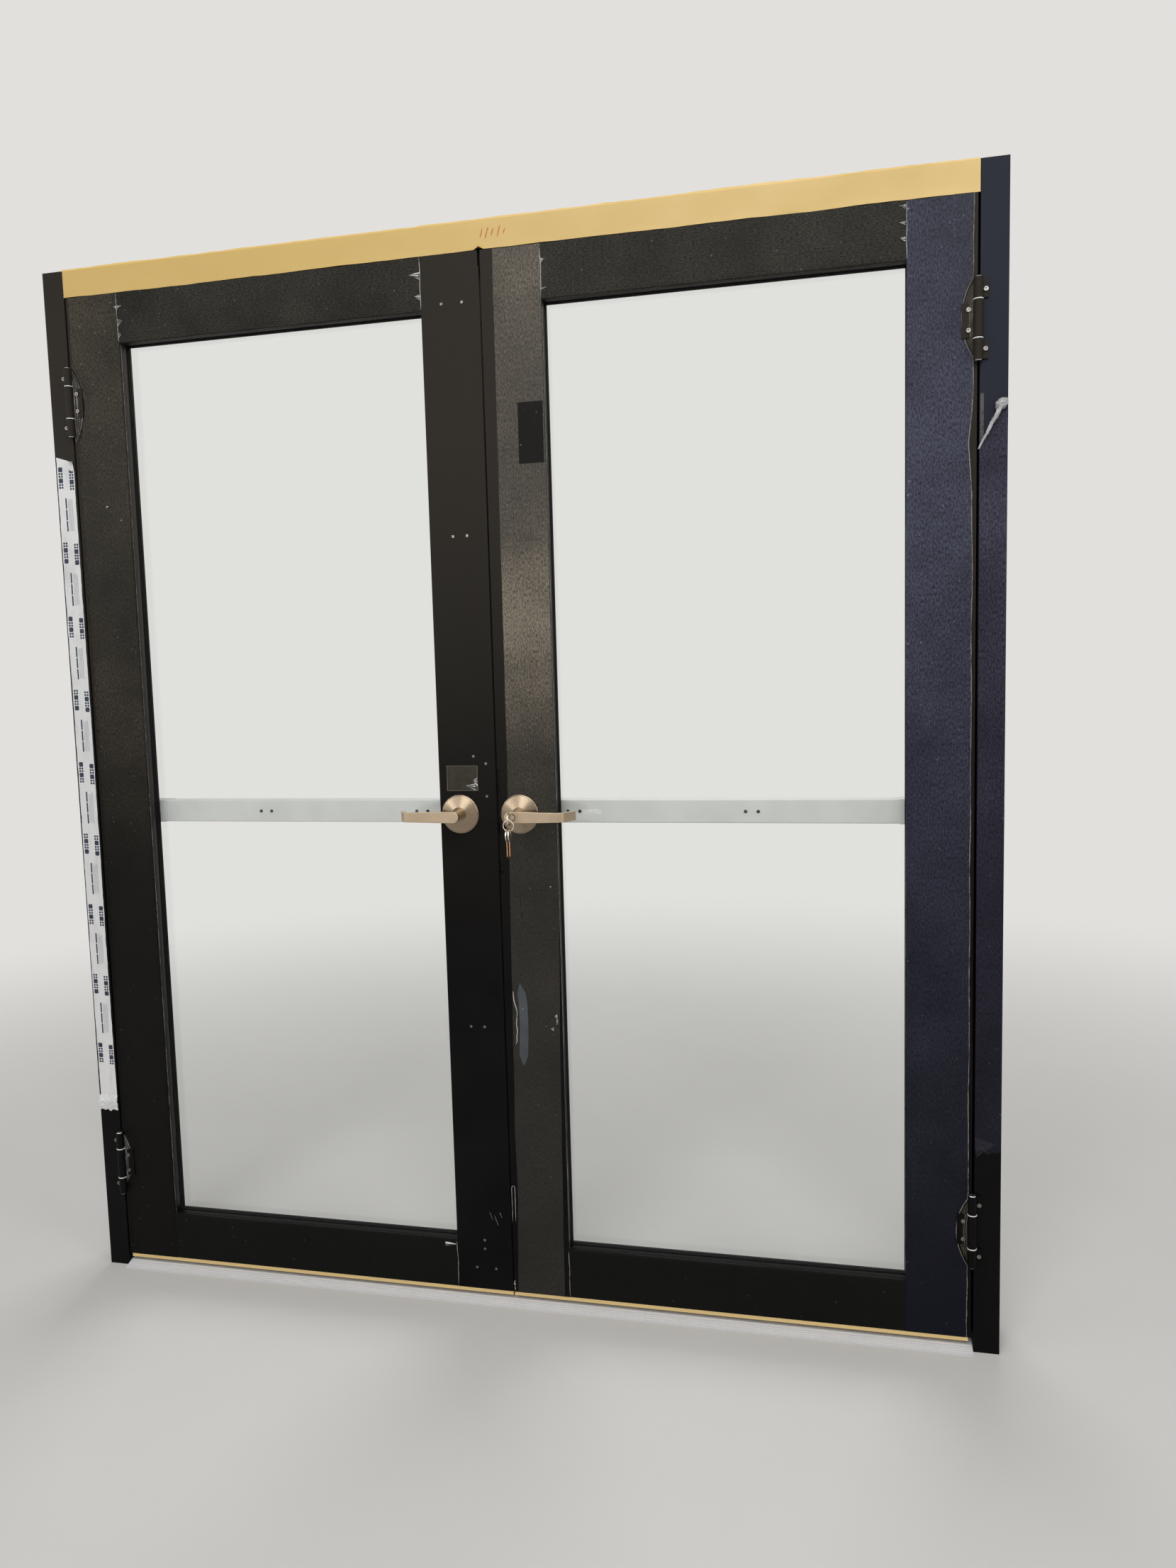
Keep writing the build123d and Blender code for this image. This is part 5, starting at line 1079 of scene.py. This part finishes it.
class DOOR_OT_leaf_film(Operator):
    """Lays the clear film over the stiles and rails of both leaves, wrapped into the lites"""
    bl_idname = "door.leaf_film"
    bl_label = "Leaf film"

    def execute(self, context):
        self.cut = white_film("cut_polyethylene_film_edge", "#B6B4B0", 0.75)
        self.dim = white_film("frayed_polyethylene_film_edge", "#AFA79E", 0.55)
        upright, level = (1.0, 0.42), (0.5, 1.0)
        # The tints and haze strengths carry painted light: the right hinge stile's blue tint is a painted
        # cool light from the right, and the lock stile's strong haze and tint lift its painted sheen.
        left = leaf_film("clear_film_on_left_hinge_stile", upright, 1.1, (1.04, 0.99, 0.92), 0.07,
                         LEFT_STILE_HAZE_AND_SHEEN)
        self.lock = leaf_film("clear_film_on_lock_stile", upright, 1.6, (3.0, 2.85, 2.75), 0.14,
                              LOCK_STILE_HAZE_AND_SHEEN)
        right = leaf_film("clear_film_on_right_hinge_stile", upright, 1.25, (1.08, 1.25, 2.35), 0.08)
        self.level = leaf_film("clear_film_on_rails", level, 0.62, (1.35, 1.4, 1.4), 0.045)
        self.hinge_stile("left", -1, left, measured_line(LEFT_LEAF_EDGE))
        self.hinge_stile("right", 1, right, measured_line(RIGHT_LEAF_EDGE))
        self.lock_stile()
        for side, sign in SIDES:
            self.rail(side, sign, "top")
            self.rail(side, sign, "bottom")
            self.joint_lines(side, sign)
        return {"FINISHED"}

    def hinge_stile(self, side, sign, material, line):
        """The film's outer edge strays along the joint and bulges round the hinge plates."""
        def edge(along):
            return sign * (line(along) - hinge_spread(side, along))

        past_bulge = sign * (LEAF_OUTER - 42 * MM)
        columns = free_edge(edge, -sign)
        columns += [(past_bulge, sizes().film_lift, 0.0)]
        columns += across_member(past_bulge, sign * LITE_OUTER)
        columns += lite_edge(sign * LITE_OUTER, -sign)
        last = len(columns) - 2
        lay_film(f"{side}_hinge_stile_film", f"{side}_leaf", columns,
                 (LEAF_LOW + FILM_MARGIN, LEAF_HIGH - FILM_MARGIN), (material, self.dim), 11.0 + sign,
                 white=(0, last) if sign > 0 else (last,))

    def lock_stile(self):
        """The active stile's film leaves a bare strip beside the gap, and a narrower one at the glass
        in its lower part. A strip of film lines the lip of the lite and ends in a cut edge."""
        flat, wrap = sizes().film_lift, sizes().lite_wrap
        inner, outer = measured_line(STILE_FILM_INNER), measured_line(STILE_FILM_OUTER)
        count = 8

        def between(share):
            return lambda along: inner(along) + (outer(along) - inner(along)) * share

        columns = [(between(0.0), flat, 0.5 * MM)]
        columns += [(between(index / count), flat, 0.0) for index in range(1, count)]
        columns += [(between(1.0), flat, 0.3 * MM)]
        lay_film("right_lock_stile_film", "right_leaf", columns,
                 (LEAF_LOW + FILM_MARGIN, LEAF_HIGH - FILM_MARGIN), (self.lock,), 23.0)
        lip = [(LITE_INNER + flat, flat * 0.4, 0.0), (LITE_INNER + flat, -0.6 * wrap, 0.0),
               (LITE_INNER + flat, -0.85 * wrap, 0.3 * MM)]
        lay_film("right_lock_stile_lip_film", "right_leaf", lip,
                 (LITE_LOW + FILM_MARGIN, LITE_HIGH - FILM_MARGIN), (self.level, self.cut), 27.0, white=(1,))

    def rail(self, side, sign, place):
        """A rail's film stops at the joints with the stiles and turns into the lite."""
        top = place == "top"
        outer, corner, inward = (LEAF_HIGH, LITE_HIGH, -1) if top else (LEAF_LOW, LITE_LOW, 1)
        columns = [(outer + inward * FILM_MARGIN, sizes().film_lift, 0.4 * MM)]
        columns += across_member(outer, corner)
        columns += lite_edge(corner, inward)
        start, stop = sorted((sign * (LITE_INNER + 0.6 * MM), sign * (LITE_OUTER - 0.6 * MM)))
        lay_film(f"{side}_{place}_rail_film", f"{side}_leaf", columns, (start, stop), (self.level,),
                 31.0 + sign + (4.0 if top else 0.0), upright=False)

    def joint_lines(self, side, sign):
        """The film's pale cut edges, standing a little up along the joints of stiles and rails."""
        width, gap = sizes().joint_line / MM, 2
        low, high = LITE_HIGH / MM + gap, LEAF_HIGH / MM - gap
        inner, outer = sign * LITE_INNER / MM, sign * LITE_OUTER / MM
        mesh = bmesh.new()
        runs = (((inner, low), (inner, high), width * 1.4), ((outer, low), (outer, high), width * 1.2),
                ((inner, LEAF_LOW / MM + gap), (inner, LITE_LOW / MM - gap), width))
        for index, (start, stop, wide) in enumerate(runs):
            ribbon(mesh, (start, stop), wide, 0.5, stray=0.7, seed=37.0 + index + sign, rise=0.7)
        build_piece(mesh, f"{side}_joint_film_edges", f"{side}_leaf", self.cut)


def hinge_spread(side, height):
    """How far the loose film reaches in from a leaf's outer edge at a height."""
    best = 0.0
    for level in ("upper", "lower"):
        centre, half, reach = HINGE_BULGES[side, level]
        share = (height - centre) / half
        if abs(share) < 1:
            best = max(best, math.cos(share * math.pi / 2) ** 0.8 * reach)
    return best


class DOOR_OT_hinge_film(Operator):
    """Tents the loose film over each hinge's door plate"""
    bl_idname = "door.hinge_film"
    bl_label = "Film over the hinges"

    def execute(self, context):
        # The crease films are painted highlights along the creases: white on the left, dimmer and brown on
        # the right.
        clear = creased_film("clear_polyethylene_film_creased", "#D8D5CF", 0.1, 0.5)
        dim = creased_film("clear_polyethylene_film_smooth", "#9A917F", 0.12, 0.3)
        white = white_film("painted_white_highlights_on_film_creases", "#D9D7D2", 0.75)
        brown_highlight = white_film("painted_brown_highlights_on_film_creases", "#A89C88", 0.5)
        looks = {"left": (clear, white, 1.6 * MM), "right": (dim, brown_highlight, 0.7 * MM)}
        for side, sign in SIDES:
            for level in ("upper", "lower"):
                self.bulge(side, sign, level, *looks[side])
        return {"FINISHED"}

    def bulge(self, side, sign, level, film, crease, wild):
        """A lens of film, raised over the plate, with fine creases that follow its curved rim and carry a
        painted highlight. wild is how far they stray. The film stops just short of where the lens closes."""
        centre, half, reach = HINGE_BULGES[side, level]
        half *= 0.985
        crest, nearest = 5.6 * MM, 2.2 * MM
        shares = (0.0, 0.035, 0.2, 0.225, 0.4, 0.425, 0.6, 0.63, 0.8, 0.84, 1.0)
        rows = 40

        def place(column, share):
            height = centre + (share * 2 - 1) * half
            lens = hinge_spread(side, height) / reach
            spread = max(lens * reach, 0.2 * MM)
            across = LEAF_OUTER - nearest - spread * (1 - shares[column])
            jagged = wander(centre * 7 + column // 2, height, 35 * MM)
            across += jagged * wild * lens * (0.2 + shares[column])
            rise = math.sin(min(1.0, shares[column] * 1.7) * math.pi / 2) * crest * min(1.0, lens * 1.8)
            fold = wander(centre * 10 + column * 0.6 + sign, height, 20 * MM) * 1.1 * MM * shares[column]
            out = NEAR - sizes().film_lift - rise - abs(fold) * min(1.0, lens * 2)
            return Vector((sign * across, out, height))

        mesh, cells = grid_sheet(len(shares) - 1, rows, place)
        for face, (column, _) in cells.items():
            face.material_index = 1 if column % 2 == 0 else 0
        build_piece(mesh, f"{side}_{level}_hinge_film", f"{side}_leaf", film, crease)


class DOOR_OT_jamb_film(Operator):
    """Lays the right jamb's film with its peeled top, rolled tail and loose lower flap"""
    bl_idname = "door.jamb_film"
    bl_label = "Jamb film"

    def execute(self, context):
        # The blue tints are a painted cool light from the right on the jamb's film.
        self.sheet(leaf_film("clear_film_on_black_jamb", (1.0, 0.42), 0.75, (1.35, 1.4, 2.7), 0.07))
        self.strip(leaf_film("clear_film_haze_strip", (1.0, 0.6), 2.2, (1.5, 1.5, 1.9)))
        rolled = creased_film("rolled_polyethylene_film", "#F6F6F8", 0.75, 1.0, 0.6)
        self.roll(rolled)
        self.bunch(rolled)
        self.flap(creased_film("loose_polyethylene_film_flap", "#85838A", 0.12, 0.55))
        return {"FINISHED"}

    def sheet(self, film):
        """The film that still sticks: its top edge slopes up to the right, its foot is ragged."""
        peel_low, peel_high, foot = 1695 * MM, 1768 * MM, 400 * MM
        inner, outer = JAMB_INNER + 1 * MM, JAMB_OUTER - 0.5 * MM
        lift = 0.25 * MM
        count, rows = 6, 110

        def place(column, share):
            part = column / count
            across = inner + (outer - inner) * part
            top = peel_low + (peel_high - peel_low) * part
            low = foot + wander(3.0, part, 0.3) * 9 * MM
            height = low + (top - low) * share
            if column in (0, count):
                across += wander(41.0 + column, height, 100 * MM) * 0.5 * MM
            ripple = wander(44.0 + column, height, 70 * MM) * 0.05 * MM
            return Vector((across, NEAR - lift - ripple, height))

        mesh, _ = grid_sheet(count, rows, place)
        build_piece(mesh, "right_jamb_film", "frame", film)

    def strip(self, film):
        """A narrow strip of film left standing beside the peeled edge."""
        mesh = bmesh.new()
        side = JAMB_INNER / MM + 4.2
        ribbon(mesh, ((side, 1700), (side, 1786)), 6, 0.5, rise=0.5, tip=0.8)
        build_piece(mesh, "right_jamb_film_strip", "frame", film)

    def roll(self, material):
        """The peeled film, twisted into a tail that leaves the jamb's face."""
        start = Vector((JAMB_INNER - 1.5 * MM, NEAR - 1.5 * MM, 1690 * MM))
        stop = Vector((JAMB_OUTER - 12 * MM, NEAR - 9 * MM, 1762 * MM))
        thin, thick, sag = 1.5 * MM, 4.1 * MM, 3 * MM
        segments, steps = 14, 34
        mesh = bmesh.new()
        ring = bmesh.ops.create_circle(mesh, cap_ends=False, segments=segments, radius=1.0)["verts"]
        turn = (stop - start).normalized().to_track_quat("Z", "Y").to_matrix()
        shape = [vert.co.copy() for vert in ring]
        edges = list(mesh.edges)
        rings = [list(ring)]
        for _ in range(steps):
            extruded = bmesh.ops.extrude_edge_only(mesh, edges=edges)["geom"]
            edges = [part for part in extruded if isinstance(part, bmesh.types.BMEdge)]
            rings.append([part for part in extruded if isinstance(part, bmesh.types.BMVert)])
        for index, verts in enumerate(rings):
            share = index / steps
            centre = start.lerp(stop, share)
            centre.y -= math.sin(share * math.pi) * sag
            radius = thin + (thick - thin) * share
            for vert, point in zip(verts, shape):
                angle = math.atan2(point.y, point.x)
                crease = 1 + 0.28 * math.sin(3 * angle + share * 16) + 0.22 * wander(share * 9, angle, 0.7)
                vert.co = centre + turn @ (point * radius * crease)
        bmesh.ops.holes_fill(mesh, edges=[edge for edge in mesh.edges if edge.is_boundary])
        bmesh.ops.recalc_face_normals(mesh, faces=mesh.faces)
        build_piece(mesh, "right_jamb_film_roll", "frame", material)

    def bunch(self, material):
        """The crinkled bunch at the tail's end: a ball drawn out and creased from all sides."""
        centre = Vector((JAMB_OUTER - 12 * MM, NEAR - 8.5 * MM, 1764 * MM))
        half = Vector((14.0, 7.0, 10.5)) * MM
        mesh = bmesh.new()
        bmesh.ops.create_icosphere(mesh, subdivisions=4, radius=1.0)
        tilted = Matrix.Rotation(math.radians(-35), 3, "Y") @ Matrix.Diagonal(half)
        for vert in mesh.verts:
            way = vert.co.normalized()
            wide = abs(noise.noise(way * 2.6)) * 0.75
            fine = abs(noise.noise(way * 6.1 + Vector((5, 1, 2)))) * 0.3
            vert.co = centre + tilted @ way * (1 - wide - fine)
        build_piece(mesh, "right_jamb_film_bunch", "frame", material)

    def flap(self, material):
        """The loose lower end of the film: a creased triangle that stands off the jamb."""
        corner = Vector((JAMB_INNER + 1 * MM, NEAR - 1 * MM, 426 * MM))
        far_corner = Vector((JAMB_OUTER - 10 * MM, NEAR - 1 * MM, 415 * MM))
        tip = Vector((JAMB_INNER + 3 * MM, NEAR - 6 * MM, 391 * MM))
        count = 8

        def place(column, share):
            point = corner.lerp(far_corner, column / count).lerp(tip, share * 0.98)
            point.y -= abs(wander(51.0 + share * 2, point.x, 12 * MM)) * 3 * MM * share
            return point

        mesh, _ = grid_sheet(count, count, place)
        build_piece(mesh, "right_jamb_film_flap", "frame", material)


class DOOR_OT_jamb_tape(Operator):
    """Sticks the white tape with its plain printed marks on the left jamb"""
    bl_idname = "door.jamb_tape"
    bl_label = "Jamb tape"

    def execute(self, context):
        low, high = 384 * MM, 1803 * MM
        left = -JAMB_OUTER + 2.5 * MM
        right = left + sizes().tape_width
        tape = white_tape()
        self.sheet(tape, left, right, low, high)
        self.marks(left, right, low, high)
        self.crumple(tape, left, right, low)
        return {"FINISHED"}

    def line(self, height):
        """How far the tape strays sideways at a height: it runs a little inwards towards its foot."""
        lean_top, lean = 1.8, 0.8 * MM
        return wander(61.0, height, 500 * MM) * 1.0 * MM + (lean_top - height) * lean

    def sheet(self, material, left, right, low, high):
        """The tape itself: its top is cut askew and its upper inner corner curls up."""
        lift, askew, curled = 0.45 * MM, 13 * MM, 5 * MM
        count, rows = 6, 130

        def place(column, share):
            height = low + (high - low) * share
            across = left + (right - left) * column / count + self.line(height)
            if column in (0, count):
                across += wander(63.0 + column, height, 12 * MM) * 0.5 * MM
            if share == 1.0:
                height -= column / count * askew
            ripple = wander(69.0 + column * 0.2, height, 50 * MM) * 0.15 * MM
            curl = max(0.0, column - 4) / 2 * max(0.0, 1 - (1 - share) * 45) * curled
            return Vector((across, NEAR - lift - ripple - curl, height))

        mesh, _ = grid_sheet(count, rows, place)
        build_piece(mesh, "left_jamb_tape", "frame", material)

    def marks(self, left, right, low, high):
        """Plain shapes that stand for print. Each repeat has two stacks of four dark tiles, every
        second one made of four small squares, then a long broken bar beside fine grey rules."""
        mesh = bmesh.new()
        dark, rule = 0, 1
        top = high - 26 * MM
        number = 0
        while top > low + 60 * MM:
            self.stack(mesh, left + 8 * MM, top, number, dark)
            self.stack(mesh, right - 7 * MM, top - 4 * MM, number, dark)
            bar_top = top - 5.2 * TILE_STEP
            if bar_top > low + 80 * MM:
                self.bars(mesh, left, bar_top, number, dark, rule)
            top -= sizes().tape_repeat
            number += 1
        build_piece(mesh, "left_jamb_tape_marks", "frame",
                    patchy("flexo_ink_on_tape", "#232838", "#3A3F52", 5, (0.45, 0.55)),
                    patchy("thin_grey_ink_on_tape", "#85858B", "#A4A4A8", 5, (0.45, 0.55)), smooth=False)

    def stack(self, mesh, across, top, number, ink):
        """Four tiles, one under the other, plain and broken in turn."""
        offset, square = 0.29 * TILE, 0.42 * TILE
        for index in range(4):
            height = top - index * TILE_STEP
            if (index + number) % 2:
                for side, rise in product((-offset, offset), repeat=2):
                    self.block(mesh, across + side, height + rise, square, square, 0.8 * MM, ink)
            else:
                self.block(mesh, across, height, TILE, TILE, 2.0 * MM, ink)

    def bars(self, mesh, left, top, number, dark, rule):
        """A long bar broken in three, and four fine rules of uneven length beside it."""
        bar_width, bar_length, bar_step = 3.2 * MM, 22 * MM, 24 * MM
        rule_width, rule_length, rule_step = 0.7 * MM, 66 * MM, 3.1 * MM
        for index in range(3):
            height = top - bar_length / 2 - index * bar_step
            self.block(mesh, left + 17 * MM, height, bar_width, bar_length, 0.5 * MM, dark)
        for lane in range(4):
            across = left + 22.5 * MM + lane * rule_step
            length = rule_length + wander(71.0 + lane, number, 1.4) * 5 * MM
            self.block(mesh, across, top - 36 * MM, rule_width, length, 0.3 * MM, rule)

    def block(self, mesh, across, height, width, length, corner, ink):
        """One printed shape with rounded corners, just proud of the tape."""
        centre = (across + self.line(height), NEAR - 0.72 * MM, height)
        rounded_card(mesh, centre, width, length, corner, 2, ink)

    def crumple(self, material, left, right, low):
        """The torn lower end of the tape, bunched up and standing off the jamb."""
        foot, length = low - 20 * MM, 34 * MM
        count, rows = 14, 12

        def place(column, share):
            across = left - 3 * MM + (right - left + 4 * MM) * column / count + self.line(low)
            height = foot + length * share + wander(77.0, column, 2.2) * 4 * MM
            fold = abs(wander(81.0 + share * 3, column, 1.7)) * 6 * MM + 1 * MM
            return Vector((across, NEAR - 0.6 * MM - fold * math.sin(math.pi * share), height))

        mesh, _ = grid_sheet(count, rows, place)
        build_piece(mesh, "left_jamb_tape_end", "frame", material)


def film_flag(mesh, across, height, reach, length, seed):
    """A torn corner of film at a joint: a small fan of creases whose tip points away. All in mm."""
    count, rows = 4, 6

    def place(column, share):
        part = column / count * 0.95
        root = height + (share - 0.5) * length
        tip = height + 0.22 * length
        rise = abs(math.sin(share * math.pi * 3 + seed)) * 2.4 * math.sqrt(part) + 0.5 * part
        ragged = wander(seed, share, 0.3) * 0.14 * abs(reach)
        return Vector(((across + reach * part + ragged) * MM, NEAR - (0.55 + rise) * MM,
                       (root + (tip - root) * part) * MM))

    _, cells = grid_sheet(count, rows, place, mesh)
    for face, (_, row) in cells.items():
        face.material_index = 1 if row in (0, rows // 2, rows - 1) else 0


class DOOR_OT_film_scraps(Operator):
    """Adds the torn corners of film at the joints between stiles and rails"""
    bl_idname = "door.film_scraps"
    bl_label = "Torn film"

    def execute(self, context):
        clear = creased_film("torn_film_between_its_creases", "#BDBBB5", 0.25, 0.8)
        white = white_film("torn_film_creases", "#DEDDD9", 0.95)
        # Each is its place across, its height, how far its tip reaches and its length at the joint
        corners = {
            "left_leaf": ((-791, 2096, 14, 11), (-791, 2096, -4, 7), (-791, 2066, 14, 14),
                          (-790, 2040, 7, 10), (-122, 2091, -21, 15), (-122, 2051, -12, 10),
                          (-846, 1692, 9, 5), (-813, 1662, 5, 5), (-149, 120, 25, 9),
                          (-44, 1092, -21, 14), (-41, 1102, -8, 18)),
            "right_leaf": ((122, 2095, 8, 9), (122, 2044, 11, 4), (789, 2116, -11, 7), (789, 2088, -12, 6),
                           (789, 2061, -10, 8), (792, 2110, 4, 6), (794, 1640, 5, 8), (795, 1616, -4, 6),
                           (112, 622, -6, 14), (110, 612, 5, 10), (103, 598, -6, 7), (4, 43, -3, 22),
                           (61, 885, 4, 4), (104, 890, 4, 4)),
        }
        for seed, (body, rows) in enumerate(corners.items(), 99):
            mesh = bmesh.new()
            for index, row in enumerate(rows):
                film_flag(mesh, *row, seed + index * 3.7)
            build_piece(mesh, f"{body}_torn_film", body, clear, white)
        return {"FINISHED"}


class DOOR_OT_stile_marks(Operator):
    """Adds the patches, lifted film and scratches on the two meeting stiles"""
    bl_idname = "door.stile_marks"
    bl_label = "Stile marks"

    def execute(self, context):
        rim = patchy("dried_edge_of_tape_patch", "#6B675C", "#57544B", 4, (0.3, 0.5))
        self.patch("left_stile_tape_patch", "left_leaf", (-105, -39.5), (1084, 1135), 0.3,
                   patchy("aged_adhesive_tape_patch", "#241F15", "#332E21", 20, (0.25, 0.42), 0.12), rim)
        film = leaf_film("doubled_film_on_black_coat", (1.0, 0.6), 0.2, (0.8, 0.8, 0.82), 0.06)
        self.patch("right_stile_dark_patch", "right_leaf", (68, 118), (1721, 1837), 0.5, film, film)
        self.lifted_film()
        scratch = dry_stroke("scratched_coat", "#9A9A97", 0.7)
        self.strokes("left_stile_scratches", "left_leaf", scratch,
                     (((-47, 199), (-41, 181)), ((-37, 192), (-29, 170)), ((-26, 200), (-20, 186))), 0.9)
        self.strokes("right_stile_scuffs", "right_leaf", dry_stroke("dark_scuff_in_film", "#0A0A0A", 0.8),
                     (((40, 880), (42, 862), (41, 848)), ((43, 838), (44, 815), (43, 800)),
                      ((39, 832), (47, 835))), 1.5)
        self.strokes("header_crayon_marks", "frame", dry_stroke("red_wax_crayon", "#D0502A"),
                     (((4, 2149), (7, 2157), (9, 2166)), ((14, 2146), (17, 2156), (21, 2167)),
                      ((26, 2150), (29, 2158), (31, 2164)), ((38, 2147), (41, 2158), (45, 2168)),
                      ((50, 2151), (54, 2162))), 1.7)
        return {"FINISHED"}

    def patch(self, name, body, across, height, lift, material, rim):
        """A flat piece of film or tape with a narrow rim and slightly uneven edges."""
        rim_share = 0.018
        shares = (0.0, rim_share, 0.25, 0.5, 0.75, 1 - rim_share, 1.0)
        last = len(shares) - 1

        def place(column, share):
            row = round(share * last)
            x = across[0] + (across[1] - across[0]) * shares[column]
            z = height[0] + (height[1] - height[0]) * shares[row]
            x += wander(13.0, row + column, 1.7) * 0.4 if column in (0, last) else 0.0
            return Vector((x * MM, NEAR - lift * MM, z * MM))

        mesh, cells = grid_sheet(last, last, place)
        for face, (column, row) in cells.items():
            face.material_index = 1 if {column, row} & {0, last - 1} else 0
        build_piece(mesh, name, body, material, rim)

    def lifted_film(self):
        """A long spindle of film that has let go of the active stile and gone pale, the curled and
        kinked edge beside it, the cut round the slot at the gap, and the sliver at the gap's foot."""
        pale = patchy("lifted_film_over_black_coat", "#3F4347", "#4D5256", 30, (0.3, 0.45))
        slot_middle, slot_top, slot_half, slot_foot = 5.9, 256, 3.4, 180
        mesh = bmesh.new()
        ribbon(mesh, ((34.5, 690), (38, 668), (40.5, 640), (41, 612), (40.5, 585), (39, 555), (37.5, 518)),
               18, 0.4, rise=0.9, tip=0.04)
        build_piece(mesh, "right_stile_lifted_film", "right_leaf", pale)
        mesh = bmesh.new()
        ribbon(mesh, ((19.5, 673), (20.5, 655), (26, 636), (27, 628), (25, 606), (26.5, 590), (24.5, 578),
                      (25, 570), (22, 562)), 1.7, 0.5, stray=0.3, seed=17.0, rise=1.2, tip=0.4)
        ribbon(mesh, ((38, 638), (42, 637)), 1.2, 1.6, rise=0.4)
        build_piece(mesh, "right_stile_curled_edge", "right_leaf",
                    white_film("curled_film_edge", "#C9C9C8", 0.9))
        mesh = bmesh.new()
        turns = [math.radians(turn) for turn in range(0, 181, 20)]
        arch = [(slot_middle + slot_half * math.cos(turn), slot_top + slot_half * math.sin(turn))
                for turn in turns]
        ribbon(mesh, [(slot_middle + slot_half, slot_foot), *arch, (slot_middle - slot_half, slot_foot)],
               0.8, 0.35, tip=0.1)
        build_piece(mesh, "right_stile_slot_cut", "right_leaf",
                    white_film("cut_film_round_the_slot", "#BDBDBB", 0.9))

    def strokes(self, name, body, material, paths, width):
        """Hand-drawn or scratched strokes as narrow ribbons on the near face."""
        mesh = bmesh.new()
        for index, path in enumerate(paths):
            ribbon(mesh, path, width, 0.95, stray=0.2, seed=3.0 + index)
        build_piece(mesh, name, body, material, smooth=False)


class DOOR_OT_bar_label(Operator):
    """Sticks a small blank label on the active leaf's push bar"""
    bl_idname = "door.bar_label"
    bl_label = "Bar label"

    def execute(self, context):
        across, width, height, corner = 183.5 * MM, 38 * MM, 9 * MM, 1.5 * MM
        mesh = bmesh.new()
        rounded_card(mesh, (across, BAR_FACE - 0.15 * MM, BAR_MIDDLE), width, height, corner, 3)
        build_piece(mesh, "right_bar_label", "right_leaf",
                    patchy("blank_vinyl_label", "#E6E6E3", "#CFCFCC", 6, (0.4, 0.5)), smooth=False)
        return {"FINISHED"}


OPERATORS = (DOOR_OT_stage, DOOR_OT_frame_finish, DOOR_OT_leaf_finish, DOOR_OT_hardware_finish,
             DOOR_OT_header_film, DOOR_OT_leaf_film, DOOR_OT_hinge_film, DOOR_OT_jamb_film,
             DOOR_OT_jamb_tape, DOOR_OT_film_scraps, DOOR_OT_stile_marks, DOOR_OT_bar_label)


class DOOR_PT_panel(Panel):
    """Lists the door's sizes, colours and operators"""
    bl_idname = "DOOR_PT_panel"
    bl_label = "Glazed double door"
    bl_space_type = "VIEW_3D"
    bl_region_type = "UI"
    bl_category = "Door"

    def draw(self, context):
        for group in (context.scene.door_sizes, context.scene.door_colours):
            box = self.layout.box()
            for name in group.__annotations__:
                box.prop(group, name)
        for operator in OPERATORS:
            self.layout.operator(operator.bl_idname)


CLASSES = (DoorSizes, DoorColours) + OPERATORS + (DOOR_PT_panel,)


def register():
    for made in CLASSES:
        bpy.utils.register_class(made)
    bpy.types.Scene.door_sizes = PointerProperty(type=DoorSizes)
    bpy.types.Scene.door_colours = PointerProperty(type=DoorColours)


def unregister():
    del bpy.types.Scene.door_colours
    del bpy.types.Scene.door_sizes
    for made in reversed(CLASSES):
        bpy.utils.unregister_class(made)


def main():
    """Builds the looks in order."""
    register()
    for operator in OPERATORS:
        group, name = operator.bl_idname.split(".")
        getattr(getattr(bpy.ops, group), name)()


if __name__ == "__main__":
    main()
